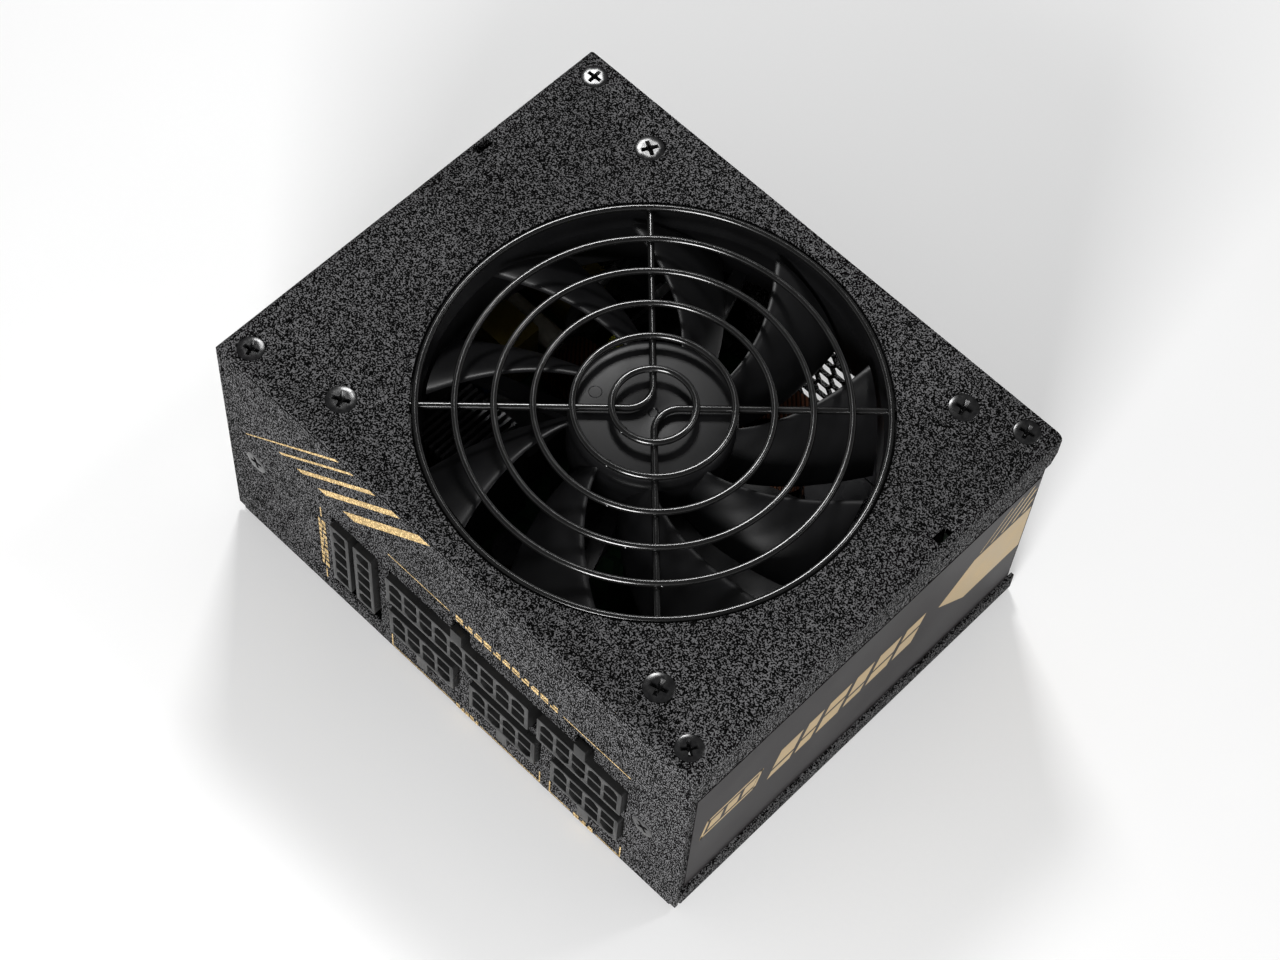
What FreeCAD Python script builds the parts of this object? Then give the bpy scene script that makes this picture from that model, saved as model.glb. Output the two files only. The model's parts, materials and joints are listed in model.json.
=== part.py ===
"""Small-form-factor modular power supply unit, built as separate named pieces.

Units are millimetres. The frame has +Z up with the fan on top, the origin at the
centre of the bottom face, the modular sockets on -Y and the mains inlet on +Y.
Each piece is written to parts/NODE.step.
"""
import FreeCAD
import Part
import math
import os

V = FreeCAD.Vector

# ---------------------------------------------------------------- enclosure
case_width = 125.0            # along X
case_depth = 100.0            # along Y
case_height = 63.5            # along Z
sheet = 0.8                   # steel sheet
bend_inner = 0.6              # inner radius of the panel bends
cover_bend_inner = 0.8        # inner radius of the cover's long bends
seam = 0.1                    # gap left where two sheets meet edge to edge
edge_gap = 0.02               # sheet edge under the cover
tab_slot = 0.4                # slot cut beside each tab
cover_flange = 9.0            # height of the cover's turned-down sides
cover_clip = 3.0              # taper on the rear end of each cover side
tray_flange = 6.5             # height of the tray's turned-up sides
corner_relief = 1.6           # gap left at the tray's bent corners
notch_height = 1.5            # relief notch where cover side and panel meet
tab_width = 7.0               # in-turned screw tabs
tab_length = 8.6
collar_wall = 0.9             # wall of the drawn collars that hold threads
collar_depth = 1.6
slit_length = 4.0             # lanced slit in the top of the cover
slit_width = 2.0
slit_y = 18.0
slit_inset = 2.1              # slit centre to the side of the case
dent_depth = 0.35             # pressed dent beside the slit
dent_height = 4.0

# ---------------------------------------------------------------- screws
fit = 0.05                    # radial clearance of a screw in its hole
cover_head_r = 2.7
cover_shank_r = 1.5
cover_screw_length = 5.0
cover_screw_x = 57.1
cover_screw_y = 45.8
fan_head_r = 3.0
fan_shank_r = 1.8
fan_screw_length = 12.0
base_screw_x = 44.0
base_screw_y = 44.6
panel_screw_sites = ((-54.8, 27.8), (52.1, 25.2))
panel_tab_height = 9.0
recess_width = 0.8            # cross recess in each head
recess_length = 2.9
recess_depth = 1.1

# ---------------------------------------------------------------- guard and fan
fan_x = 4.0                   # fan axis
fan_y = 0.0
opening_lip = 1.8             # opening in the cover beyond the bore
wire_r = 0.7                  # guard wire
ring_count = 6
ring_first = 8.0
ring_gap = 0.3                # outer ring's wire to the edge of the opening
weld = 0.25                   # depth the welded wires sink into each other
elbow_r = 5.0                 # bend at the middle of each cross wire
elbow_offset = 2.07           # bend apex from the fan axis
eyelet_r = 3.2                # centreline radius of an eyelet
fan_size = 92.0
fan_thick = 15.0
fan_drop = 0.05               # guard wire to fan frame
frame_corner_r = 4.0
frame_flange = 3.0
bore_wall = 2.1               # thinnest wall of the duct
fan_hole_inset = 4.75         # screw hole to the side of the frame
bore_flare = 1.2
flare_height = 3.6
pillar_r = 4.2
motor_base_r = 15.4
motor_base_thick = 1.3
strut_width = 3.0
strut_thick = 2.2
strut_count = 4
strut_angle = 20.0
hub_r = 16.25
hub_wall = 1.1
hub_cap = 1.2
hub_round = 1.4
hub_below_frame = 0.6         # hub top below the top of the fan frame
hub_gap = 1.0                 # hub skirt above the motor base
blade_count = 9
tip_gap = 1.0                 # blade tip to the bore
blade_thick = 1.3
blade_phase = 20.3            # angle of a blade's leading tip
blade_sweep = 20.0            # leading edge turns this much from hub to tip
blade_chord = 22.0            # degrees from leading to trailing edge at the hub
blade_chord_growth = 3.5      # degrees more at the tip
blade_belly = 0.07            # camber as a share of the chord
blade_top_gap = 1.2           # leading edge below the frame top
blade_fall = 9.4              # leading edge to trailing edge, along the axis
rotor_gap = 0.05              # between pressed rotor pieces
yoke_wall = 0.7
magnet_wall = 1.5
air_gap = 0.5
shaft_r = 1.5
shaft_play = 0.05
sleeve_wall = 1.45
tube_wall = 1.1
hub_boss_r = 3.0
hub_mark_at = (-10.7, -4.7)   # moulding mark on the hub's face, from the axis
hub_mark_r = 1.35
hub_mark_line = 0.2
tube_below_hub = 2.6          # bearing tube ends below the hub's cap
pole_count = 4
pole_shoe = 1.1               # thickness of each pole's shoe
core_above_base = 3.2
pole_half_angle = 36.0
core_height = 4.0
arm_width = 2.6
coil_wall = 1.3

# ---------------------------------------------------------------- sockets
pin_pitch = 4.2
cell_size = 3.4
socket_wall = 0.6             # extra wall outside the outer cells
socket_depth = 12.8
socket_proud = 1.4            # socket face beyond the panel
cell_depth = 10.4
cell_chamfer = 1.0
cutout_gap = 0.35             # panel cut-out around a socket
latch_width = 2.9
latch_height = 4.0
latch_length = 5.0
latch_notch = 5.0             # width of the panel notch over a latch
latch_room = 0.9              # notch beyond the latch
row_high_z = 29.8             # middle of the upper sockets
row_low_z = 16.55             # middle of the lower sockets
socket_18_x = 3.6
socket_10_x = 36.5
socket_8_xs = (-6.4, 16.0, 38.4)
socket_5_xs = (-29.0, -22.4)
socket_5_width = 5.2
socket_5_top = 34.8
open_strip = 6.4              # open part of the cut-out under the tall sockets
pin_r = 0.55
pin_tail = 2.2

# ---------------------------------------------------------------- mains side
mount_spacing_x = 113.0
mount_spacing_z = 51.5
mount_hole_r = 1.75
inlet_x = -28.0
inlet_z = 19.0
inlet_flange_w = 48.0
inlet_flange_h = 22.6
inlet_flange_t = 1.5
inlet_body_w = 27.2
inlet_body_h = 19.6
inlet_recess_w = 24.6
inlet_recess_h = 16.9
inlet_recess_d = 15.0
inlet_back = 2.0
inlet_corner = 5.0            # slanted upper corners of the recess
inlet_screw_pitch = 40.0
inlet_screw_length = 7.0
nut_flat = 5.5
nut_thick = 2.4
blade_pitch = 7.0
blade_offset = 2.0            # earth above, line and neutral below the middle
blade_w = 2.0
blade_h = 4.0
blade_lead = 4.0              # blade tips behind the face of the inlet
tab_reach = 8.0               # solder tabs behind inlet and switch
tab_thick = 0.8
tab_half = 2.4
switch_x = -28.0
switch_z = 38.2
switch_bezel_w = 21.4
switch_bezel_h = 14.8
switch_bezel_t = 1.5
switch_wall = 1.1
switch_depth = 13.5
switch_back_wall = 1.5
terminal_x = 5.0              # terminals to either side of the switch's middle
rocker_r = 8.2                # reach of the rocker from its pivot
rocker_half = 5.0
rocker_gap = 0.3
rocker_pivot_in = 2.0         # pivot behind the outer face of the panel
rocker_edge = 4.0
rocker_middle = 2.6
rocker_sole = 1.5
rocker_tilt = 10.0
trunnion_r = 1.0
vent_flat = 3.4               # hexagonal vents, across flats
vent_pitch = 4.1
vent_x0 = 1.0
vent_x1 = 52.0
vent_z0 = 7.5
vent_z1 = 56.0

# ---------------------------------------------------------------- boards
board_thick = 1.6
wrap = 1.3                    # thickness of a winding on its ring core
core_inset = 3.5              # transformer winding beyond its core, each way
pin_step = 2.54               # leg spacing of the flat packages
bar_width = 9.0               # copper bars behind the sockets
bar_thick = 1.0
mains_wire_r = 1.3
earth_wire_r = 1.2
fan_wire_r = 0.9
board_z = 5.7                 # main board above the tray floor
board_x = 57.5
board_y0 = -35.2
board_y1 = 46.4
standoff_r = 2.6
standoff_x = 53.5
standoff_ys = (-30.5, 41.5)
film_thick = 0.3
pan_head = 1.8                # height of the board screws' heads
wire_foot = 0.2               # a slanting wire end stops this far above the board
label_thick = 0.15
label_y0 = -47.2
label_y1 = 48.2
label_z0 = 6.9
label_z1 = 49.0

# ---------------------------------------------------------------- worked-out places
half_w = case_width / 2.0
half_d = case_depth / 2.0
roof = case_height - sheet                     # underside of the cover sheet
flange_z = case_height - cover_flange          # lower edge of the cover sides
side_x = half_w - sheet                        # outer face of the side panels
panel_back = -half_d + sheet                   # inner face of the connector panel
rear_front = half_d - sheet                    # inner face of the mains panel
bore_r = fan_size / 2.0 - bore_wall
blade_tip_r = bore_r - tip_gap
opening_r = bore_r + opening_lip
ring_last = opening_r - ring_gap - wire_r
fan_pitch = fan_size - 2.0 * fan_hole_inset
ring_z = case_height - wire_r
cross_z = ring_z - 2.0 * wire_r + weld
frame_top = cross_z - wire_r - fan_drop
frame_bottom = frame_top - fan_thick
motor_top = frame_bottom + motor_base_thick
hub_top = frame_top - hub_below_frame
hub_bottom = motor_top + hub_gap
board_top = sheet + board_z + board_thick
socket_face = -half_d - socket_proud
plate_front = socket_face + socket_depth       # front face of the modular board
plate_back = plate_front + board_thick
bearing_in_r = shaft_r + shaft_play + sleeve_wall + fit
bearing_out_r = bearing_in_r + tube_wall
bearing_top = hub_top - hub_cap - tube_below_hub
row_half = pin_pitch + socket_wall + cutout_gap  # half height of a two-row cut-out
inlet_face = half_d + inlet_flange_t
inlet_end = inlet_face - inlet_recess_d - inlet_back
switch_end = half_d - switch_depth


# ================================================================ helpers
def box(x0, x1, y0, y1, z0, z1):
    """Axis-aligned block between two corners."""
    return Part.makeBox(x1 - x0, y1 - y0, z1 - z0, V(x0, y0, z0))


def rod(x, y, z0, z1, r):
    """Upright cylinder."""
    return Part.makeCylinder(r, z1 - z0, V(x, y, z0))


def rod_y(x, z, y0, y1, r):
    """Cylinder along Y."""
    return Part.makeCylinder(r, y1 - y0, V(x, y0, z), V(0, 1, 0))


def rod_x(y, z, x0, x1, r):
    """Cylinder along X."""
    return Part.makeCylinder(r, x1 - x0, V(x0, y, z), V(1, 0, 0))


def ring(x, y, z0, z1, r_out, r_in):
    """Upright tube."""
    return rod(x, y, z0, z1, r_out).cut(rod(x, y, z0 - 1, z1 + 1, r_in))


def prism(points, direction):
    """Solid from a closed outline of 3-D points pushed along a vector."""
    loop = [V(*p) for p in points]
    return Part.Face(Part.makePolygon(loop + [loop[0]])).extrude(direction)


def fuse(shapes):
    """One solid from touching or overlapping shapes."""
    first = shapes[0]
    if len(shapes) > 1:
        first = first.multiFuse(shapes[1:])
    return first.removeSplitter()


def cut_all(shape, tools):
    """Subtract many tools at once."""
    return shape.cut(Part.makeCompound(tools))


def round_upright(shape, radius):
    """Fillet the edges that run along Z."""
    edges = [e for e in shape.Edges if abs(e.tangentAt(e.FirstParameter).z) > 0.99]
    return shape.makeFillet(radius, edges)


def round_along_y(shape, radius):
    """Fillet the edges that run along Y."""
    edges = [e for e in shape.Edges if abs(e.tangentAt(e.FirstParameter).y) > 0.99]
    return shape.makeFillet(radius, edges)


def bent_strip(corner, u, v, leg_u, leg_v, along, inner):
    """Folded strip: outer corner point, two leg directions and an extrusion."""
    outer = inner + sheet
    diag = math.sqrt(0.5)

    def at(a, b):
        return corner + u * a + v * b

    edges = [
        Part.LineSegment(at(outer, 0), at(leg_u, 0)),
        Part.LineSegment(at(leg_u, 0), at(leg_u, sheet)),
        Part.LineSegment(at(leg_u, sheet), at(outer, sheet)),
        Part.Arc(
            at(outer, sheet),
            at(outer - inner * diag, outer - inner * diag),
            at(sheet, outer),
        ),
        Part.LineSegment(at(sheet, outer), at(sheet, leg_v)),
        Part.LineSegment(at(sheet, leg_v), at(0, leg_v)),
        Part.LineSegment(at(0, leg_v), at(0, outer)),
        Part.Arc(at(0, outer), at(outer - outer * diag, outer - outer * diag), at(outer, 0)),
    ]
    wire = Part.Wire([e.toShape() for e in edges])
    return Part.Face(wire).extrude(along)


def screw(top, inward, head_r, shank_r, length):
    """Countersunk screw: centre of the head's face, direction into the work."""
    cone = head_r - shank_r
    rim = 0.2
    body = Part.makeCylinder(head_r, rim, top, inward)
    body = body.fuse(Part.makeCone(head_r, shank_r, cone, top + inward * rim, inward))
    body = body.fuse(Part.makeCylinder(shank_r, length - rim - cone, top + inward * (rim + cone), inward))
    spin = FreeCAD.Rotation(V(0, 0, 1), inward)
    for turn in (0.0, 90.0):
        slot = Part.makeBox(
            recess_length, recess_width, recess_depth, V(-recess_length / 2, -recess_width / 2, 0)
        )
        slot.Placement = FreeCAD.Placement(top, spin.multiply(FreeCAD.Rotation(V(0, 0, 1), turn + 45.0)))
        body = body.cut(slot)
    return body.removeSplitter()


def screw_hole(top, inward, head_r, shank_r, depth):
    """Countersunk hole that the screw above drops into."""
    r_head = head_r + fit
    r_shank = shank_r + fit
    rim = 0.2 + fit
    cone = r_head - r_shank
    start = top - inward
    hole = Part.makeCylinder(r_head, 1.0 + rim, start, inward)
    hole = hole.fuse(Part.makeCone(r_head, r_shank, cone, top + inward * rim, inward))
    return hole.fuse(Part.makeCylinder(r_shank, depth, top, inward))


def collar(foot, inward, shank_r):
    """Drawn collar on the inner face of a tab."""
    return Part.makeCylinder(shank_r + fit + collar_wall, collar_depth, foot, inward)


def tube(points, radius):
    """Round tube on straight runs joined by tangent arcs."""
    pts = [V(*p) for p in points]
    edges = []
    start = pts[0]
    for i in range(1, len(pts) - 1):
        back = pts[i - 1] - pts[i]
        ahead = pts[i + 1] - pts[i]
        reach = 0.45 * min(back.Length, ahead.Length)
        back.normalize()
        ahead.normalize()
        turn = math.pi - back.getAngle(ahead)
        bend = reach / math.tan(turn / 2.0)
        a = pts[i] + back * reach
        b = pts[i] + ahead * reach
        middle = back + ahead
        middle.normalize()
        centre_way = math.hypot(reach, bend)
        m = pts[i] + middle * (centre_way - bend)
        edges.append(Part.LineSegment(start, a).toShape())
        edges.append(Part.Arc(a, m, b).toShape())
        start = b
    edges.append(Part.LineSegment(start, pts[-1]).toShape())
    path = Part.Wire(edges)
    way = pts[1] - pts[0]
    profile = Part.Wire([Part.Circle(pts[0], way, radius).toShape()])
    return path.makePipeShell([profile], True, True)


def hexagon(x, y, z, flat, length):
    """Hexagonal prism along Y, flats facing up and down."""
    r = flat / math.sqrt(3.0)
    points = []
    for k in range(6):
        a = math.radians(60 * k)
        points.append((x + r * math.cos(a), y, z + r * math.sin(a)))
    return prism(points, V(0, length, 0))


def save(name, shapes):
    """Write one node."""
    if not isinstance(shapes, list):
        shapes = [shapes]
    solids = []
    for shape in shapes:
        solids.extend(shape.Solids)
    for solid in solids:
        if not solid.isValid() or solid.Volume <= 0:
            print("bad solid in", name)
    whole = solids[0] if len(solids) == 1 else Part.makeCompound(solids)
    whole.exportStep("parts/" + name + ".step")
    print("%-22s %2d solid(s) %10.1f mm3" % (name, len(solids), whole.Volume))


# ================================================================ enclosure
def cover_screw_tops():
    """Head centres of the four corner screws."""
    return [V(sx * cover_screw_x, sy * cover_screw_y, case_height) for sx in (-1, 1) for sy in (-1, 1)]


def fan_corners():
    """Plan positions of the four fan screws."""
    half = fan_pitch / 2.0
    return [(fan_x + sx * half, fan_y + sy * half) for sx in (-1, 1) for sy in (-1, 1)]


def top_cover():
    """Cover sheet with both long sides turned down, fan opening and screw holes."""
    outer = cover_bend_inner + sheet
    pieces = [box(-half_w + outer, half_w - outer, -half_d, half_d, roof, case_height)]
    for side in (-1, 1):
        corner = V(side * half_w, -half_d, case_height)
        strip = bent_strip(
            corner, V(-side, 0, 0), V(0, 0, -1), outer + 1.0, cover_flange,
            V(0, case_depth, 0), cover_bend_inner,
        )
        pieces.append(strip)
    for x, y in fan_corners():
        pieces.append(rod(x, y, cross_z + wire_r + fit, roof, fan_head_r + 1.0))
    body = fuse(pieces)
    tools = [rod(fan_x, fan_y, roof - 1, case_height + 1, opening_r)]
    for top in cover_screw_tops():
        tools.append(screw_hole(top, V(0, 0, -1), cover_head_r, cover_shank_r, 3.0))
    for x, y in fan_corners():
        tools.append(screw_hole(V(x, y, case_height), V(0, 0, -1), fan_head_r, fan_shank_r, 3.0))
    for side in (-1, 1):
        x = side * (half_w - slit_inset)
        half_w_slit = slit_width / 2.0
        half_l_slit = slit_length / 2.0
        tools.append(
            box(x - half_w_slit, x + half_w_slit, slit_y - half_l_slit, slit_y + half_l_slit,
                roof - 1, case_height + 1)
        )
        dent_x = sorted((side * half_w, side * (half_w - dent_depth)))
        dent_top = case_height - outer - 1.0
        tools.append(
            box(dent_x[0], dent_x[1], slit_y - half_l_slit, slit_y + half_l_slit,
                dent_top - dent_height, dent_top)
        )
        x_in = side * (side_x - 1.0)
        clip = [
            (x_in, half_d - cover_clip * 0.6, flange_z - 1),
            (x_in, half_d + 1, flange_z - 1),
            (x_in, half_d + 1, flange_z + cover_clip + 1),
            (x_in, half_d, flange_z + cover_clip),
        ]
        tools.append(prism(clip, V(side * 4.0, 0, 0)))
    return cut_all(body, tools)


def turned_tab(x, y_face, z_face, down, inward):
    """Strip folded inward from a panel edge: panel face, tab face and directions."""
    corner = V(x - tab_width / 2.0, y_face, z_face)
    outer = bend_inner + sheet
    return bent_strip(corner, inward, down, tab_length, outer + 0.6, V(tab_width, 0, 0), bend_inner)


def socket_cutouts():
    """Openings in the connector panel for every socket and its latch."""
    y0 = -half_d - 1
    y1 = panel_back + 1
    high = (row_high_z - row_half, row_high_z + row_half)
    low = (row_low_z - row_half, row_low_z + row_half)
    x_left = socket_18_x - socket_half(9) - cutout_gap
    x_right = socket_10_x + socket_half(5) + cutout_gap
    tools = [box(x_left, x_right, y0, y1, high[0], high[1])]
    for x in (socket_18_x, socket_10_x):
        top = high[1] + latch_height + latch_room
        tools.append(box(x - latch_notch / 2, x + latch_notch / 2, y0, y1, high[1] - 1, top))
    for x in socket_8_xs:
        half = socket_half(4) + cutout_gap
        tools.append(box(x - half, x + half, y0, y1, low[0], low[1]))
        bottom = low[0] - latch_height - latch_room
        tools.append(box(x - latch_notch / 2, x + latch_notch / 2, y0, y1, bottom, low[0] + 1))
    edge = socket_5_width / 2 + 3 * cutout_gap
    bottom = socket_5_top - 2 * socket_half(5) - open_strip
    tools.append(
        box(socket_5_xs[0] - edge, socket_5_xs[1] + socket_5_width / 2 + cutout_gap, y0, y1,
            bottom, socket_5_top + cutout_gap)
    )
    return tools


def socket_half(cells):
    """Half the length of a socket with this many cells in a row."""
    return cells * pin_pitch / 2.0 + socket_wall


def base_tray():
    """Floor, connector panel and two low turned-up sides in one sheet."""
    outer = bend_inner + sheet
    flat_x = half_w - corner_relief
    pieces = [box(-half_w + outer, half_w - outer, -half_d + outer, half_d, 0, sheet)]
    pieces.append(
        bent_strip(V(-flat_x, -half_d, 0), V(0, 1, 0), V(0, 0, 1), outer + 1, flange_z,
                   V(2 * flat_x, 0, 0), bend_inner)
    )
    pieces.append(box(-half_w, half_w, -half_d, panel_back, outer + 0.5, flange_z))
    narrow = side_x - seam
    pieces.append(box(-narrow, narrow, -half_d, panel_back, flange_z - 1, roof - bend_inner - sheet))
    crest = box(-narrow, narrow, -half_d, panel_back, flange_z, roof - cover_bend_inner)
    inside_bend = narrow - cover_bend_inner
    crest = crest.fuse(box(-inside_bend, inside_bend, -half_d, panel_back, flange_z, roof - edge_gap))
    for side in (-1, 1):
        x = side * cover_screw_x
        crest = crest.cut(
            box(x - tab_width / 2 - tab_slot, x + tab_width / 2 + tab_slot, -half_d - 1, panel_back + 1,
                roof - outer - tab_slot, roof + 1)
        )
        pieces.append(turned_tab(x, -half_d, roof, V(0, 0, -1), V(0, 1, 0)))
        pieces.append(collar(V(x, -cover_screw_y, roof - sheet), V(0, 0, -1), cover_shank_r))
        start_y = -half_d + corner_relief + 2 * seam
        strip = bent_strip(
            V(side * half_w, start_y, 0), V(-side, 0, 0), V(0, 0, 1), outer + 1, tray_flange,
            V(0, half_d - start_y, 0), bend_inner,
        )
        pieces.append(strip)
    pieces.append(crest)
    body = fuse(pieces)
    tools = socket_cutouts()
    for top in cover_screw_tops():
        tools.append(screw_hole(top, V(0, 0, -1), cover_head_r, cover_shank_r, 6.0))
    for x, z in panel_screw_sites:
        tools.append(screw_hole(V(x, -half_d, z), V(0, 1, 0), cover_head_r, cover_shank_r, 3.0))
    for side in (-1, 1):
        foot = V(side * base_screw_x, base_screw_y, 0)
        tools.append(screw_hole(foot, V(0, 0, 1), cover_head_r, cover_shank_r, 3.0))
        notch = sorted((side * (half_w + 1), side * (side_x - seam - 0.9)))
        notch_top = flange_z + notch_height
        tools.append(box(notch[0], notch[1], -half_d - 1, panel_back + 1, flange_z, notch_top))
    return cut_all(body, tools)


def hex_vents():
    """Staggered hexagonal holes, kept clear of the mounting holes."""
    holes = []
    step_x = vent_pitch * math.sqrt(3.0) / 2.0
    columns = int((vent_x1 - vent_x0) / step_x) + 1
    rows = int((vent_z1 - vent_z0) / vent_pitch)
    for column in range(columns):
        for row in range(rows):
            x = vent_x0 + column * step_x
            z = vent_z0 + (row + 0.5 * (column % 2)) * vent_pitch
            holes.append(hexagon(x, rear_front - 1, z, vent_flat, sheet + 2))
    return holes


def mount_sites():
    """The four mounting holes of the mains panel, as x and z."""
    middle = case_height / 2.0
    return [
        (sx * mount_spacing_x / 2, middle + sz * mount_spacing_z / 2) for sx in (-1, 1) for sz in (-1, 1)
    ]


def rear_frame():
    """Mains panel with both side panels folded forward from it."""
    outer = bend_inner + sheet
    foot = sheet + outer
    head = roof - outer
    front_y = panel_back + 3 * seam
    pieces = [box(-side_x + outer, side_x - outer, rear_front, half_d, foot, roof - edge_gap)]
    for side in (-1, 1):
        strip = bent_strip(
            V(side * side_x, half_d, foot), V(0, -1, 0), V(-side, 0, 0), half_d - front_y, outer + 1,
            V(0, 0, head - foot + bend_inner), bend_inner,
        )
        pieces.append(strip)
        x = side * cover_screw_x
        pieces[0] = pieces[0].cut(
            box(x - tab_width / 2 - tab_slot, x + tab_width / 2 + tab_slot, rear_front - 1, half_d + 1,
                roof - outer - tab_slot, roof + 1)
        )
        pieces.append(turned_tab(x, half_d, roof, V(0, 0, -1), V(0, -1, 0)))
        pieces.append(collar(V(x, cover_screw_y, roof - sheet), V(0, 0, -1), cover_shank_r))
        x = side * base_screw_x
        pieces.append(turned_tab(x, half_d, sheet, V(0, 0, 1), V(0, -1, 0)))
        pieces.append(collar(V(x, base_screw_y, 2 * sheet), V(0, 0, 1), cover_shank_r))
    for x, z in panel_screw_sites:
        side = 1 if x > 0 else -1
        face = V(side * side_x, panel_back, z - panel_tab_height / 2)
        reach = side_x - abs(x) + 4.5
        pieces.append(
            bent_strip(face, V(-side, 0, 0), V(0, 1, 0), reach, outer + 2.0, V(0, 0, panel_tab_height),
                       bend_inner)
        )
        pieces.append(collar(V(x, panel_back + sheet, z), V(0, 1, 0), cover_shank_r))
    for x, z in mount_sites():
        pieces.append(
            rod_y(x, z, rear_front - collar_depth, rear_front + 0.1, mount_hole_r + collar_wall)
        )
    body = fuse(pieces)
    tools = hex_vents()
    for top in cover_screw_tops():
        tools.append(screw_hole(top, V(0, 0, -1), cover_head_r, cover_shank_r, 6.0))
    for x, z in panel_screw_sites:
        tools.append(screw_hole(V(x, -half_d, z), V(0, 1, 0), cover_head_r, cover_shank_r, 6.0))
    for side in (-1, 1):
        foot = V(side * base_screw_x, base_screw_y, 0)
        tools.append(screw_hole(foot, V(0, 0, 1), cover_head_r, cover_shank_r, 6.0))
        x = inlet_x + side * inlet_screw_pitch / 2
        tools.append(rod_y(x, inlet_z, 0, half_d + 1, cover_shank_r + fit))
    for x, z in mount_sites():
        tools.append(rod_y(x, z, rear_front - 4, half_d + 1, mount_hole_r))
    gap = 0.2
    tools.append(
        box(inlet_x - inlet_body_w / 2 - gap, inlet_x + inlet_body_w / 2 + gap, rear_front - 1, half_d + 1,
            inlet_z - inlet_body_h / 2 - gap, inlet_z + inlet_body_h / 2 + gap)
    )
    half_x = rocker_r + rocker_gap + switch_wall + gap
    half_z = rocker_half + rocker_gap + switch_wall + gap
    tools.append(
        box(switch_x - half_x, switch_x + half_x, rear_front - 1, half_d + 1,
            switch_z - half_z, switch_z + half_z)
    )
    return cut_all(body, tools)


def side_labels():
    """Thin printed film on the outer face of each side panel."""
    right = box(side_x, side_x + label_thick, label_y0, label_y1, label_z0, label_z1)
    left = box(-side_x - label_thick, -side_x, label_y0, label_y1, label_z0, label_z1)
    return right, left


# ================================================================ fasteners
def cover_screws():
    """Four corner screws of the cover."""
    down = V(0, 0, -1)
    return [
        screw(top, down, cover_head_r, cover_shank_r, cover_screw_length) for top in cover_screw_tops()
    ]


def fan_screws():
    """Four longer screws through cover and guard into the fan frame."""
    screws = []
    for x, y in fan_corners():
        screws.append(screw(V(x, y, case_height), V(0, 0, -1), fan_head_r, fan_shank_r, fan_screw_length))
    return screws


def panel_screws():
    """Two screws that hold the connector panel to the side panels."""
    return [
        screw(V(x, -half_d, z), V(0, 1, 0), cover_head_r, cover_shank_r, cover_screw_length)
        for x, z in panel_screw_sites
    ]


def base_screws():
    """Two screws up through the floor into the mains panel's tabs."""
    return [
        screw(V(side * base_screw_x, base_screw_y, 0), V(0, 0, 1), cover_head_r, cover_shank_r,
              cover_screw_length)
        for side in (-1, 1)
    ]


# ================================================================ guard and fan
def fan_guard():
    """Welded wire guard: concentric rings on two bent cross wires with eyelets."""
    pieces = []
    step = (ring_last - ring_first) / (ring_count - 1)
    for k in range(ring_count):
        pieces.append(Part.makeTorus(ring_first + k * step, wire_r, V(fan_x, fan_y, ring_z)))
    half = fan_pitch / 2.0
    diag = math.sqrt(0.5)
    for side in (-1, 1):
        apex = V(fan_x + side * elbow_offset, fan_y, cross_z)
        centre = apex + V(side * elbow_r, 0, 0)
        upper = centre + V(-side * elbow_r * diag, elbow_r * diag, 0)
        lower = centre + V(-side * elbow_r * diag, -elbow_r * diag, 0)
        top_eye = V(fan_x + side * half, fan_y + half, cross_z)
        low_eye = V(fan_x + side * half, fan_y - half, cross_z)
        way_up = top_eye - upper
        way_down = low_eye - lower
        reach_up = way_up.Length - eyelet_r
        way_up.normalize()
        way_down.normalize()
        pieces.append(Part.makeCylinder(wire_r, reach_up, upper, way_up))
        pieces.append(Part.makeCylinder(wire_r, reach_up, lower, way_down))
        start = math.degrees(math.atan2(upper.y - centre.y, upper.x - centre.x))
        finish = math.degrees(math.atan2(lower.y - centre.y, lower.x - centre.x))
        if side < 0:
            start, finish = finish, start
        bend = Part.makeTorus(elbow_r, wire_r, centre, V(0, 0, 1), -180.0, 180.0, (finish - start) % 360.0)
        bend.rotate(centre, V(0, 0, 1), start)
        pieces.append(bend)
        pieces.append(Part.makeTorus(eyelet_r, wire_r, top_eye))
        pieces.append(Part.makeTorus(eyelet_r, wire_r, low_eye))
    body = pieces[0].multiFuse(pieces[1:])
    return body


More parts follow.
